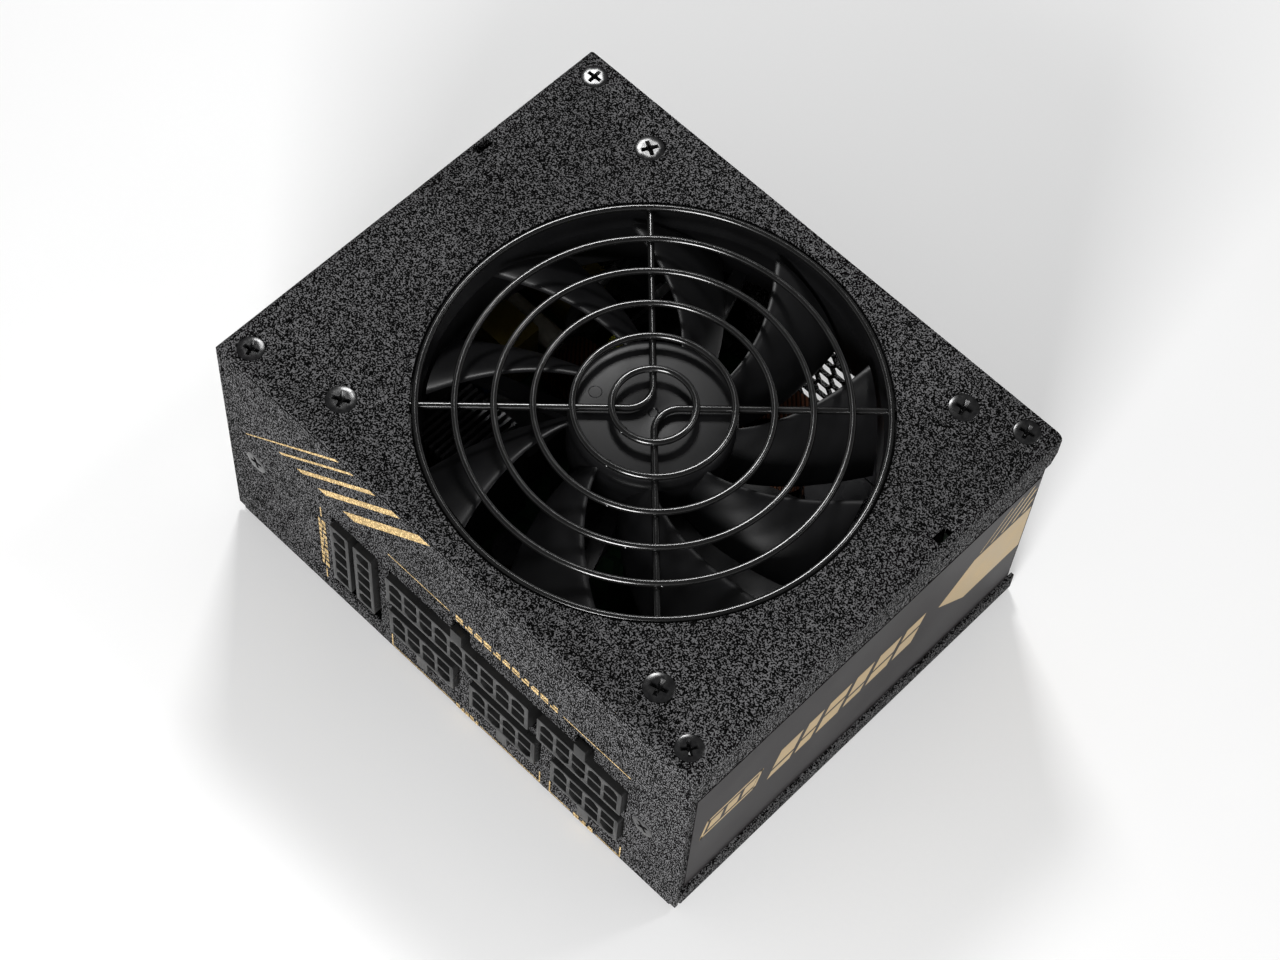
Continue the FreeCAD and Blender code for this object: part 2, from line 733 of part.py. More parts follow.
def fan_frame():
    """Square fan frame with duct, corner pillars, struts, motor base and bearing tube."""
    half = fan_size / 2.0
    square = box(fan_x - half, fan_x + half, fan_y - half, fan_y + half, frame_bottom, frame_top)
    square = round_upright(square, frame_corner_r)
    hollow = box(
        fan_x - half - 1, fan_x + half + 1, fan_y - half - 1, fan_y + half + 1,
        frame_bottom + frame_flange, frame_top - frame_flange,
    )
    keep = [rod(fan_x, fan_y, frame_bottom, frame_top, half)]
    for x, y in fan_corners():
        keep.append(rod(x, y, frame_bottom, frame_top, pillar_r))
    hollow = hollow.cut(keep[0].multiFuse(keep[1:]))
    frame = square.cut(hollow)
    tools = [rod(fan_x, fan_y, frame_bottom - 1, frame_top + 1, bore_r)]
    tools.append(
        Part.makeCone(bore_r, bore_r + bore_flare, flare_height, V(fan_x, fan_y, frame_top - flare_height))
    )
    for x, y in fan_corners():
        tools.append(rod(x, y, frame_bottom - 1, frame_top + 1, fan_shank_r + fit))
    for tool in tools:
        frame = frame.cut(tool)
    pieces = [frame]
    pieces.append(rod(fan_x, fan_y, frame_bottom, motor_top, motor_base_r))
    pieces.append(rod(fan_x, fan_y, frame_bottom, bearing_top, bearing_out_r))
    for k in range(strut_count):
        strut = box(
            motor_base_r - 1.5, bore_r + 0.8, -strut_width / 2, strut_width / 2,
            frame_bottom, frame_bottom + strut_thick,
        )
        strut.rotate(V(0, 0, 0), V(0, 0, 1), strut_angle + 360.0 * k / strut_count)
        strut.translate(V(fan_x, fan_y, 0))
        pieces.append(strut)
    body = fuse(pieces)
    return body.cut(rod(fan_x, fan_y, motor_top - 0.4, bearing_top + 1, bearing_in_r))


def blade_angles(r):
    """Leading and trailing angle of a blade at a radius, in degrees from the tip."""
    share = (r - hub_r) / (blade_tip_r - hub_r)
    lead = -blade_sweep * (1.0 - share) * (1.3 - 0.3 * share)
    chord = blade_chord + blade_chord_growth * share
    return lead, lead - chord


def blade():
    """One swept blade, lofted through curved sections and trimmed to the tip circle."""
    wires = []
    top = frame_top - blade_top_gap
    for r in (hub_r - 1.5, 22.0, 29.0, 36.0, blade_tip_r + 2.5):
        lead, trail = blade_angles(r)
        centre = math.radians((lead + trail) / 2.0)
        out = V(math.cos(centre), math.sin(centre), 0)
        side = V(-math.sin(centre), math.cos(centre), 0)
        half = r * math.tan(math.radians((lead - trail) / 2.0))
        high = out * r + side * half + V(0, 0, top)
        deep = out * r - side * half + V(0, 0, top - blade_fall)
        chord = high - deep
        normal = out.cross(chord)
        normal.normalize()
        if normal.z < 0:
            normal = normal * -1.0
        belly = blade_belly * chord.Length
        edge = normal * (blade_thick * 0.25)
        middle = (high + deep) * 0.5 + normal * belly
        crest = middle + normal * (blade_thick / 2.0)
        hollow = middle - normal * (blade_thick / 2.0)
        upper = Part.Arc(deep + edge, crest, high + edge).toShape()
        nose = Part.LineSegment(high + edge, high - edge).toShape()
        lower = Part.Arc(high - edge, hollow, deep - edge).toShape()
        tail = Part.LineSegment(deep - edge, deep + edge).toShape()
        wires.append(Part.Wire([upper, nose, lower, tail]))
    body = Part.makeLoft(wires, True, False)
    limit = ring(0, 0, hub_bottom + 0.2, frame_top, blade_tip_r, hub_r - 0.4)
    return body.common(limit)


def fan_impeller():
    """Hub cup with nine blades, a shaft boss and the moulding marks on its face."""
    cup = rod(fan_x, fan_y, hub_bottom, hub_top, hub_r)
    rim = [e for e in cup.Edges if e.BoundBox.ZMin > hub_top - fit]
    cup = cup.makeFillet(hub_round, rim)
    cup = cup.cut(rod(fan_x, fan_y, hub_bottom - 1, hub_top - hub_cap, hub_r - hub_wall))
    cup = cup.fuse(rod(fan_x, fan_y, hub_top - hub_cap - 1.5, hub_top - 0.5, hub_boss_r))
    cup = cup.cut(rod(fan_x, fan_y, hub_top - hub_cap - 2, hub_top - 0.6, shaft_r))
    mark_x = fan_x + hub_mark_at[0]
    mark_y = fan_y + hub_mark_at[1]
    mark = ring(mark_x, mark_y, hub_top - 0.12, hub_top + 1, hub_mark_r, hub_mark_r - hub_mark_line)
    cup = cup.cut(mark)
    cup = cup.cut(rod(fan_x, fan_y, hub_top - 0.25, hub_top + 1, 1.0))
    pieces = [cup]
    one = blade()
    for k in range(blade_count):
        copy = one.copy()
        copy.rotate(V(0, 0, 0), V(0, 0, 1), blade_phase + 360.0 * k / blade_count)
        copy.translate(V(fan_x, fan_y, 0))
        pieces.append(copy)
    return pieces[0].multiFuse(pieces[1:])


def rotor_pieces():
    """Yoke, magnet and shaft that turn with the impeller."""
    yoke_r = hub_r - hub_wall - rotor_gap
    yoke_top = hub_top - hub_cap - rotor_gap
    yoke = rod(fan_x, fan_y, hub_bottom + 0.3, yoke_top, yoke_r)
    yoke = yoke.cut(rod(fan_x, fan_y, hub_bottom - 1, yoke_top - yoke_wall, yoke_r - yoke_wall))
    yoke = yoke.cut(rod(fan_x, fan_y, hub_bottom, yoke_top + 1, hub_boss_r + rotor_gap))
    magnet_r = yoke_r - yoke_wall - rotor_gap
    magnet_top = yoke_top - yoke_wall - 0.4
    magnet = ring(fan_x, fan_y, hub_bottom + 0.6, magnet_top, magnet_r, magnet_r - magnet_wall)
    shaft = rod(fan_x, fan_y, motor_top + 0.2, hub_top - 0.6, shaft_r)
    return yoke, magnet, shaft


def stator_pieces():
    """Bearing sleeve, laminated core, coils and the small fan board."""
    sleeve = ring(fan_x, fan_y, motor_top, bearing_top, bearing_in_r - fit, shaft_r + shaft_play)
    pole_r = hub_r - hub_wall - 2 * rotor_gap - yoke_wall - magnet_wall - air_gap
    core_z0 = motor_top + core_above_base
    core_z1 = core_z0 + core_height
    pieces = [rod(fan_x, fan_y, core_z0, core_z1, bearing_out_r + 2.0)]
    coils = []
    for k in range(pole_count):
        turn = 360.0 * k / pole_count
        arm = box(0, pole_r - 0.5, -arm_width / 2, arm_width / 2, core_z0, core_z1)
        shoe = Part.makeCylinder(pole_r, core_height, V(0, 0, core_z0), V(0, 0, 1), 2 * pole_half_angle)
        shoe.rotate(V(0, 0, 0), V(0, 0, 1), -pole_half_angle)
        shoe = shoe.cut(rod(0, 0, core_z0 - 1, core_z1 + 1, pole_r - pole_shoe))
        half = arm_width / 2 + coil_wall
        coil_in = bearing_out_r + 2.3
        coil_out = pole_r - pole_shoe - 0.7
        coil = box(coil_in, coil_out, -half, half, core_z0 - coil_wall, core_z1 + coil_wall)
        coil = coil.cut(
            box(0, pole_r, -arm_width / 2 - fit, arm_width / 2 + fit, core_z0 - fit, core_z1 + fit)
        )
        for shape in (arm, shoe, coil):
            shape.rotate(V(0, 0, 0), V(0, 0, 1), turn)
            shape.translate(V(fan_x, fan_y, 0))
        pieces.extend((arm, shoe))
        coils.append(coil)
    core = fuse(pieces).cut(rod(fan_x, fan_y, core_z0 - 1, core_z1 + 1, bearing_out_r + fit))
    plate = ring(fan_x, fan_y, motor_top, motor_top + 0.8, hub_r - hub_wall - 2.4, bearing_out_r + fit)
    return sleeve, core, coils, plate


# ================================================================ modular sockets
def cell_cutter(x, z, chamfered, side):
    """One cell of a socket, with two corners cut off on one side if keyed."""
    h = cell_size / 2.0
    y = socket_face - 1.0
    if chamfered:
        c = cell_chamfer
        flat = [(-h, -h + c), (-h + c, -h), (h, -h), (h, h), (-h + c, h), (-h, h - c)]
    else:
        flat = [(-h, -h), (h, -h), (h, h), (-h, h)]
    turns = {"left": (1, 0, 0, 1), "up": (0, 1, -1, 0), "down": (0, -1, 1, 0)}
    xu, xw, zu, zw = turns[side]
    points = [(x + xu * u + xw * w, y, z + zu * u + zw * w) for u, w in flat]
    return prism(points, V(0, cell_depth + 1.0, 0))


def socket_block(x, z, columns, rows, latch, keyed):
    """Socket housing with its cells and latch ramp; keyed picks chamfered cells."""
    half_x = columns * pin_pitch / 2.0 + (socket_wall if columns > 1 else (socket_5_width - pin_pitch) / 2)
    half_z = rows * pin_pitch / 2.0 + socket_wall
    body = box(x - half_x, x + half_x, socket_face, plate_front, z - half_z, z + half_z)
    body = round_along_y(body, 0.5)
    if latch:
        low = z + half_z - 0.5 if latch > 0 else z - half_z + 0.5
        tip = z + latch * (half_z + latch_height)
        ramp = [
            (x - latch_width / 2, socket_face, low),
            (x - latch_width / 2, socket_face, tip),
            (x - latch_width / 2, socket_face + 1.6, tip),
            (x - latch_width / 2, socket_face + latch_length, low),
        ]
        body = body.fuse(prism(ramp, V(latch_width, 0, 0)))
    tools = []
    pins = []
    for column in range(columns):
        for row in range(rows):
            px = x + (column - (columns - 1) / 2.0) * pin_pitch
            pz = z + (row - (rows - 1) / 2.0) * pin_pitch
            side = "left" if columns == 1 else ("up" if row else "down")
            tools.append(cell_cutter(px, pz, keyed(column, row), side))
            tools.append(rod_y(px, pz, socket_face, plate_front + 1, pin_r + fit))
            pins.append(rod_y(px, pz, socket_face + 2.4, plate_back + pin_tail, pin_r))
    return cut_all(body, tools), pins


def all_sockets():
    """Every socket of the connector panel, by node name, and all their pins."""
    def wide_key(column, row):
        return (column + 2 * row) % 4 in (1, 2)

    def eight_key(column, row):
        return (column + row) % 2 == 1

    def tall_key(column, row):
        return row in (0, 3, 4)

    sockets = {}
    pins = []
    sockets["socket_18_pin"], new = socket_block(socket_18_x, row_high_z, 9, 2, 1, wide_key)
    pins.extend(new)
    sockets["socket_10_pin"], new = socket_block(socket_10_x, row_high_z, 5, 2, 1, wide_key)
    pins.extend(new)
    for k, x in enumerate(socket_8_xs):
        sockets["socket_8_pin_%d" % (k + 1)], new = socket_block(x, row_low_z, 4, 2, -1, eight_key)
        pins.extend(new)
    middle = socket_5_top - socket_half(5)
    for k, x in enumerate(socket_5_xs):
        sockets["socket_5_pin_%d" % (k + 1)], new = socket_block(x, middle, 1, 5, 0, tall_key)
        pins.extend(new)
    return sockets, pins


def modular_board(pins):
    """Upright board behind the sockets, drilled for every pin."""
    left = socket_5_xs[0] - socket_5_width / 2 - 1.5
    right = socket_10_x + socket_half(5) + 1.5
    board = box(left, right, plate_front, plate_back, sheet + 4.5, socket_5_top + 3.0)
    tools = []
    for pin in pins:
        middle = pin.CenterOfMass
        tools.append(rod_y(middle.x, middle.z, plate_front - 1, plate_back + 1, pin_r + fit))
    return cut_all(board, tools)


# ================================================================ mains inlet and switch
def inlet_housing():
    """Mains inlet with an open recess and a screw flange."""
    w = inlet_flange_w / 2.0
    h = inlet_flange_h / 2.0
    flange = box(inlet_x - w, inlet_x + w, half_d, inlet_face, inlet_z - h, inlet_z + h)
    flange = round_along_y(flange, 4.0)
    bw = inlet_body_w / 2.0
    bh = inlet_body_h / 2.0
    body = box(inlet_x - bw, inlet_x + bw, inlet_end, half_d + 0.5, inlet_z - bh, inlet_z + bh)
    body = round_along_y(body, 1.5)
    whole = fuse([flange, body])
    rw = inlet_recess_w / 2.0
    rh = inlet_recess_h / 2.0
    cut = inlet_corner
    y = inlet_face - inlet_recess_d
    recess = [
        (inlet_x - rw, y, inlet_z - rh),
        (inlet_x + rw, y, inlet_z - rh),
        (inlet_x + rw, y, inlet_z + rh - cut),
        (inlet_x + rw - cut, y, inlet_z + rh),
        (inlet_x - rw + cut, y, inlet_z + rh),
        (inlet_x - rw, y, inlet_z + rh - cut),
    ]
    tools = [prism(recess, V(0, inlet_recess_d + 1, 0))]
    for side in (-1, 1):
        x = inlet_x + side * inlet_screw_pitch / 2
        tools.append(screw_hole(V(x, inlet_face, inlet_z), V(0, -1, 0), cover_head_r, cover_shank_r, 4.0))
    for x, z in blade_sites():
        slot_w = blade_w / 2
        slot_h = blade_h / 2
        tools.append(box(x - slot_w, x + slot_w, inlet_end - 1, y + 1, z - slot_h, z + slot_h))
    return cut_all(whole, tools)


def blade_sites():
    """Middle of each contact blade: line, neutral and earth."""
    low = inlet_z - blade_offset
    return [(inlet_x - blade_pitch, low), (inlet_x + blade_pitch, low), (inlet_x, inlet_z + blade_offset)]


def inlet_blades():
    """Three contact blades with solder tabs behind the housing."""
    blades = []
    for x, z in blade_sites():
        across = blade_w / 2
        up = blade_h / 2
        tip = inlet_face - blade_lead
        contact = box(x - across, x + across, inlet_end, tip, z - up, z + up)
        blades.append(fuse([contact, solder_tab(x, z, inlet_end - tab_reach, inlet_end)]))
    return blades


def solder_tab(x, z, y0, y1):
    """Flat upright tab along Y."""
    return box(x - tab_thick / 2, x + tab_thick / 2, y0, y1, z - tab_half, z + tab_half)


def inlet_screws():
    """Two screws through the inlet flange with nuts behind the panel."""
    screws = []
    nuts = []
    for side in (-1, 1):
        x = inlet_x + side * inlet_screw_pitch / 2
        head = V(x, inlet_face, inlet_z)
        screws.append(screw(head, V(0, -1, 0), cover_head_r, cover_shank_r, inlet_screw_length))
        nut = hexagon(x, rear_front - nut_thick, inlet_z, nut_flat, nut_thick)
        nuts.append(nut.cut(rod_y(x, inlet_z, 0, half_d, cover_shank_r + fit)))
    return screws, nuts


def switch_housing():
    """Bezel and open box that carries the rocker on two bores."""
    half_x = rocker_r + rocker_gap
    half_z = rocker_half + rocker_gap
    face = half_d + switch_bezel_t
    bezel = box(
        switch_x - switch_bezel_w / 2, switch_x + switch_bezel_w / 2, half_d, face,
        switch_z - switch_bezel_h / 2, switch_z + switch_bezel_h / 2,
    )
    bezel = round_along_y(bezel, 1.0)
    outer_x = half_x + switch_wall
    outer_z = half_z + switch_wall
    body = box(
        switch_x - outer_x, switch_x + outer_x, switch_end, half_d + 0.5,
        switch_z - outer_z, switch_z + outer_z,
    )
    whole = fuse([bezel, body])
    well = box(
        switch_x - half_x, switch_x + half_x, switch_end + switch_back_wall, face + 1,
        switch_z - half_z, switch_z + half_z,
    )
    whole = whole.cut(well)
    pivot = half_d - rocker_pivot_in
    whole = whole.cut(rod(switch_x, pivot, switch_z - outer_z, switch_z + outer_z, trunnion_r + fit))
    tools = []
    for side in (-1, 1):
        tools.append(solder_tab(switch_x + side * terminal_x, switch_z, switch_end - 1, switch_end + 3))
    return cut_all(whole, tools)


def switch_terminals():
    """Two tabs that pass through the back of the switch."""
    tabs = []
    for side in (-1, 1):
        x = switch_x + side * terminal_x
        tabs.append(solder_tab(x, switch_z, switch_end - tab_reach, switch_end + 2.5))
    return tabs


def switch_rocker():
    """Rocker with a shallow vee face and two trunnions, tipped to its rest side."""
    edge_x = math.sqrt(rocker_r ** 2 - rocker_edge ** 2)
    sole_x = math.sqrt(rocker_r ** 2 - rocker_sole ** 2)
    left = math.atan2(rocker_edge, -edge_x)
    low = math.atan2(-rocker_sole, -sole_x) + 2 * math.pi
    mid = (left + low) / 2.0
    z0 = -rocker_half

    def at(x, y):
        return V(x, y, z0)

    edges = [
        Part.LineSegment(at(edge_x, rocker_edge), at(0, rocker_middle)),
        Part.LineSegment(at(0, rocker_middle), at(-edge_x, rocker_edge)),
        Part.Arc(
            at(-edge_x, rocker_edge), at(rocker_r * math.cos(mid), rocker_r * math.sin(mid)),
            at(-sole_x, -rocker_sole),
        ),
        Part.LineSegment(at(-sole_x, -rocker_sole), at(sole_x, -rocker_sole)),
        Part.Arc(
            at(sole_x, -rocker_sole), at(-rocker_r * math.cos(mid), rocker_r * math.sin(mid)),
            at(edge_x, rocker_edge),
        ),
    ]
    body = Part.Face(Part.Wire([e.toShape() for e in edges])).extrude(V(0, 0, 2 * rocker_half))
    reach = rocker_half + rocker_gap + switch_wall - 0.2
    body = body.fuse(rod(0, 0, -reach, reach, trunnion_r))
    body.rotate(V(0, 0, 0), V(0, 0, 1), -rocker_tilt)
    body.translate(V(switch_x, half_d - rocker_pivot_in, switch_z))
    return body


# ================================================================ boards and components
def main_board():
    """Main circuit board, its film, standoffs and screws."""
    z0 = sheet + board_z
    sites = [(side * standoff_x, y) for side in (-1, 1) for y in standoff_ys]
    board = box(-board_x, board_x, board_y0, board_y1, z0, board_top)
    film = box(-board_x - 1, board_x + 1, board_y0, board_y1 - 6.5, sheet, sheet + film_thick)
    standoffs = []
    screws = []
    for x, y in sites:
        board = board.cut(rod(x, y, z0 - 1, board_top + 1, cover_shank_r + fit))
        film = film.cut(rod(x, y, sheet - 1, sheet + 1, standoff_r + 0.6))
        post = rod(x, y, sheet, z0, standoff_r)
        standoffs.append(post.cut(rod(x, y, sheet + 1, z0 + 1, cover_shank_r + fit)))
        head = rod(x, y, board_top, board_top + pan_head, cover_head_r)
        arm = recess_length / 2
        half = recess_width / 2
        floor = board_top + pan_head / 2
        head = head.cut(box(x - arm, x + arm, y - half, y + half, floor, floor + pan_head))
        head = head.cut(box(x - half, x + half, y - arm, y + arm, floor, floor + pan_head))
        screws.append(fuse([head, rod(x, y, z0 - 3, board_top, cover_shank_r)]))
    return board, film, standoffs, screws


def can(x, y, r, height):
    """Aluminium capacitor can with a rolled groove and a scored top."""
    z0 = board_top
    body = rod(x, y, z0, z0 + height, r)
    body = body.cut(ring(x, y, z0 + 1.6, z0 + 2.6, r + 1, r - 0.6))
    score = box(x - r * 0.6, x + r * 0.6, y - 0.25, y + 0.25, z0 + height - 0.3, z0 + height + 1)
    cross = box(x - 0.25, x + 0.25, y - r * 0.6, y + r * 0.6, z0 + height - 0.3, z0 + height + 1)
    return body.cut(score).cut(cross)


def toroid(x, y, z, r_out, r_in, width, upright):
    """Ring core and the two windings wrapped round it, lying flat or upright."""
    core = ring(0, 0, -width / 2, width / 2, r_out, r_in)
    windings = []
    for turn in (15.0, 195.0):
        low = V(0, 0, -width / 2 - wrap)
        outer = Part.makeCylinder(r_out + wrap, width + 2 * wrap, low, V(0, 0, 1), 150.0)
        inner = rod(0, 0, -width, width, r_in - wrap)
        gap = ring(0, 0, -width / 2 - fit, width / 2 + fit, r_out + fit, r_in - fit)
        part = outer.cut(inner).cut(gap)
        part.rotate(V(0, 0, 0), V(0, 0, 1), turn)
        windings.append(part)
    for shape in [core] + windings:
        if upright:
            shape.rotate(V(0, 0, 0), V(1, 0, 0), 90.0)
        shape.translate(V(x, y, z))
    return core, windings


def transformer(x0, x1, y0, y1, height):
    """Ferrite core halves round a taped winding."""
    z0 = board_top + 2.0
    z1 = z0 + height
    cx = (x0 + x1) / 2.0
    leg = (x1 - x0) * 0.16
    core_y0 = y0 + core_inset
    core_y1 = y1 - core_inset
    frame = box(x0, x1, core_y0, core_y1, z0, z1)
    window = box(x0 + leg, x1 - leg, y0, y1, z0 + leg, z1 - leg)
    middle = box(cx - leg, cx + leg, core_y0, core_y1, z0 + 1, z1 - 1)
    core = fuse([frame.cut(window), middle])
    winding = box(x0 + leg + 0.2, x1 - leg - 0.2, y0 + 0.4, y1 - 0.4, z0 + leg + 0.2, z1 - leg - 0.2)
    winding = round_upright(winding, 3.0)
    winding = winding.cut(box(cx - leg - 0.1, cx + leg + 0.1, core_y0 - 0.1, core_y1 + 0.1, z0, z1))
    feet = []
    for fx in (x0 + leg + 1.5, x1 - leg - 1.5):
        for fy in (y0 + 2.0, y1 - 2.0):
            feet.append(box(fx - 1.2, fx + 1.2, fy - 1.2, fy + 1.2, board_top, z0 + leg + 1.0))
    return core, fuse([winding] + feet)


def finned_sink(x0, x1, y0, y1, height, fins, fin_thick):
    """Extruded heatsink with upright fins along Y."""
    z0 = board_top
    pieces = [box(x0, x1, y0, y1, z0, z0 + 3.0)]
    step = (x1 - x0 - fin_thick) / (fins - 1)
    for k in range(fins):
        x = x0 + k * step
        pieces.append(box(x, x + fin_thick, y0, y1, z0, z0 + height))
    return fuse(pieces)


def plate_sink(x, y0, y1, height, side):
    """Upright plate heatsink with a few ribs on one side."""
    z0 = board_top
    pieces = [box(x, x + 2.4, y0, y1, z0, z0 + height)]
    ribs = 5
    for k in range(ribs):
        y = y0 + 2.0 + k * (y1 - y0 - 5.2) / (ribs - 1)
        rib = sorted((x + 1.2, x + 1.2 + side * 6.0))
        pieces.append(box(rib[0], rib[1], y, y + 1.2, z0 + 8, z0 + height))
    return fuse(pieces)


def tab_packages(x, ys, side):
    """Flat transistor packages bolted against a plate heatsink."""
    packages = []
    for y in ys:
        face = sorted((x, x + side * 4.4))
        tab = sorted((x, x + side * 1.2))
        legs = sorted((x + side * 2.0, x + side * 2.8))
        body = box(face[0], face[1], y - 5, y + 5, board_top + 6, board_top + 15.4)
        body = body.fuse(box(tab[0], tab[1], y - 5, y + 5, board_top + 15, board_top + 21.4))
        for k in (-1, 0, 1):
            leg_y = y + k * pin_step
            body = body.fuse(box(legs[0], legs[1], leg_y - 0.4, leg_y + 0.4, board_top, board_top + 6.5))
        packages.append(body.removeSplitter())
    return packages


def upright_board(x0, x1, y0, y1, height):
    """Small board standing on the main board, with parts on one face."""
    board = box(x0, x1, y0, y1, board_top, board_top + height)
    chips = []
    for k in range(3):
        span = (y1 - y0) / 3.0
        a = y0 + k * span + 1.5
        chips.append(box(x1, x1 + 2.6, a, a + span - 3.0, board_top + 4, board_top + height - 4))
    return board, chips


def lead(x, y, z_body):
    """Wire leg from a part down to the board."""
    return rod(x, y, board_top, z_body, 0.45)


def small_parts():
    """Fuse, relay, thermistor and filter capacitors."""
    nodes = {}
    leg_top = board_top + 5.0
    fuse_z = board_top + 3.2
    fuse_body = rod_x(20.0, fuse_z, -54.0, -40.0, 2.6)
    for x in (-53.0, -41.0):
        fuse_body = fuse_body.fuse(lead(x, 20.0, fuse_z))
    nodes["mains_fuse"] = fuse_body
    blocks = []
    for y0 in (26.0, 6.0):
        blocks.append(round_upright(box(-56.0, -40.0, y0, y0 + 8.5, board_top, board_top + 15.0), 0.8))
    nodes["x_capacitors"] = blocks
    discs = []
    for y in (21.0, 13.0):
        disc = rod_y(-9.0, board_top + 6.2, y, y + 3.4, 4.2)
        disc = disc.fuse(lead(-11.5, y + 1.7, leg_top))
        discs.append(disc.fuse(lead(-6.5, y + 1.7, leg_top)))
    nodes["y_capacitors"] = discs
    thermistor = rod_y(-46.0, board_top + 8.0, -2.0, 2.4, 6.4)
    thermistor = thermistor.fuse(lead(-49.0, 0.2, leg_top))
    nodes["inrush_thermistor"] = thermistor.fuse(lead(-43.0, 0.2, leg_top))
    nodes["bypass_relay"] = round_upright(box(-36.0, -21.0, -7.5, 3.5, board_top, board_top + 12.0), 0.6)
    return nodes


def bus_bars():
    """Copper angles that carry the outputs from the main board to the upright board."""
    bars = []
    front = plate_back + pin_tail + 0.3
    for x in (-26.0, -6.0, 14.0, 34.0):
        upright = box(x, x + bar_width, front, front + bar_thick, board_top, board_top + 10.0)
        foot = box(x, x + bar_width, front, front + 4.7, board_top, board_top + bar_thick)
        nose_x = x + bar_width / 3.0
        nose_z = board_top + 1.6
        nose = box(nose_x, nose_x + bar_width / 3.0, plate_back, front + 0.2, nose_z, nose_z + 1.6)
        bars.append(fuse([upright, foot, nose]))
    return bars


def wiring():
    """Insulated leads from inlet and switch, the earth lead and the fan lead."""
    back = inlet_end - tab_reach
    (line_x, line_z), (neutral_x, neutral_z), (earth_x, earth_z) = blade_sites()
    switch_back = switch_end - tab_reach
    left_tab = switch_x - terminal_x
    leads = [
        tube([
            (line_x, back, line_z), (line_x, back - 5, line_z), (line_x - 1, back - 8, line_z + 9),
            (left_tab - 1, switch_back - 6, switch_z - 3), (left_tab, switch_back - 4, switch_z),
            (left_tab, switch_back, switch_z),
        ], mains_wire_r),
        tube([
            (neutral_x, back, neutral_z), (neutral_x, back - 4, neutral_z),
            (neutral_x + 4, back - 6, neutral_z - 3), (neutral_x + 6, back - 6, board_top + 3),
            (neutral_x + 6.5, back - 6, board_top + wire_foot),
        ], mains_wire_r),
    ]
    earth = tube([
        (earth_x, back, earth_z), (earth_x, back - 3.5, earth_z),
        (earth_x + 6.0, back - 4.5, earth_z + 4.5), (earth_x + 12.5, back - 7.5, earth_z + 1),
        (earth_x + 13.0, back - 8.5, board_top + 5), (earth_x + 12.0, back - 9, board_top + wire_foot),
    ], earth_wire_r)
    return leads, earth


def fan_wiring():
    """Fan lead from the frame down to a two-pin header on the main board."""
    header = box(-50.0, -44.0, -27.0, -21.0, board_top, board_top + 6.0)
    header = header.cut(box(-49.2, -44.8, -26.2, -21.8, board_top + 1.5, board_top + 7))
    plug = box(-49.0, -45.0, -26.0, -22.0, board_top + 1.6, board_top + 9.0)
    top = frame_bottom + 1.2
    run = tube([
        (fan_x - fan_size / 2, -24.0, top), (fan_x - fan_size / 2 - 3.0, -24.0, top),
        (-47.0, -24.0, top - 6.0), (-47.0, -24.2, 26.0), (-47.0, -24.0, board_top + 9.0),
    ], fan_wire_r)
    return header, plug, run


# ================================================================ build
def main():
    """Write every node."""
    os.makedirs("parts", exist_ok=True)
    save("base_tray", base_tray())
    save("rear_frame", rear_frame())
    save("top_cover", top_cover())
    right_label, left_label = side_labels()
    save("side_label", right_label)
    save("rating_label", left_label)
    save("cover_screws", cover_screws())
    save("fan_screws", fan_screws())
    save("panel_screws", panel_screws())
    save("base_screws", base_screws())
    save("fan_guard", fan_guard())
    save("fan_frame", fan_frame())
    save("fan_impeller", fan_impeller())
    yoke, magnet, shaft = rotor_pieces()
    save("rotor_yoke", yoke)
    save("rotor_magnet", magnet)
    save("fan_shaft", shaft)
    sleeve, core, coils, plate = stator_pieces()
    save("bearing_sleeve", sleeve)
    save("stator_core", core)
    save("stator_coils", coils)
    save("fan_circuit_board", plate)
    sockets, pins = all_sockets()
    for name, shape in sockets.items():
        save(name, shape)
    save("socket_pins", pins)
    save("modular_board", modular_board(pins))
    save("bus_bars", bus_bars())
    save("inlet_housing", inlet_housing())
    save("inlet_blades", inlet_blades())
    screws, nuts = inlet_screws()
    save("inlet_screws_and_nuts", screws + nuts)
    save("switch_housing", switch_housing())
    save("switch_terminals", switch_terminals())
    save("switch_rocker", switch_rocker())
    board, film, standoffs, board_screws = main_board()
    save("main_circuit_board", board)
    save("insulating_film", film)
    save("board_standoffs", standoffs)
    save("board_screws", board_screws)
    for name, shape in small_parts().items():
        save(name, shape)
    line_core, line_windings = toroid(-27.0, 14.5, board_top + 9.0, 7.5, 4.2, 6.0, True)
    boost_core, boost_windings = toroid(10.0, 29.5, board_top + 7.0, 12.0, 6.0, 11.0, False)
    save("choke_cores", [line_core, boost_core])
    save("choke_windings", line_windings + boost_windings)
    save("bulk_capacitor", can(40.0, 27.0, 14.5, 34.0))
    save("primary_heatsink", plate_sink(-4.0, -16.0, 10.0, 32.0, -1))
    save("power_transistors", tab_packages(-1.6, (-10.0, 2.0), 1))
    main_core, main_winding = transformer(14.0, 42.0, -20.0, 8.0, 26.0)
    standby_core, standby_winding = transformer(-56.0, -41.0, -19.0, -5.0, 15.0)
    save("transformer_cores", [main_core, standby_core])
    save("transformer_windings", [main_winding, standby_winding])
    save("secondary_heatsink", finned_sink(-34.0, -18.0, -27.0, -11.0, 30.0, 11, 0.6))
    save("output_capacitors", [can(-8.0 + 9.0 * k, -25.0, 4.0, 14.0) for k in range(6)])
    board, chips = upright_board(47.0, 48.4, -22.0, 8.0, 24.0)
    save("converter_board", [board] + chips)
    leads, earth = wiring()
    save("mains_leads", leads)
    save("earth_lead", earth)
    header, plug, run = fan_wiring()
    save("fan_header", header)
    save("fan_plug", plug)
    save("fan_lead", run)


main()
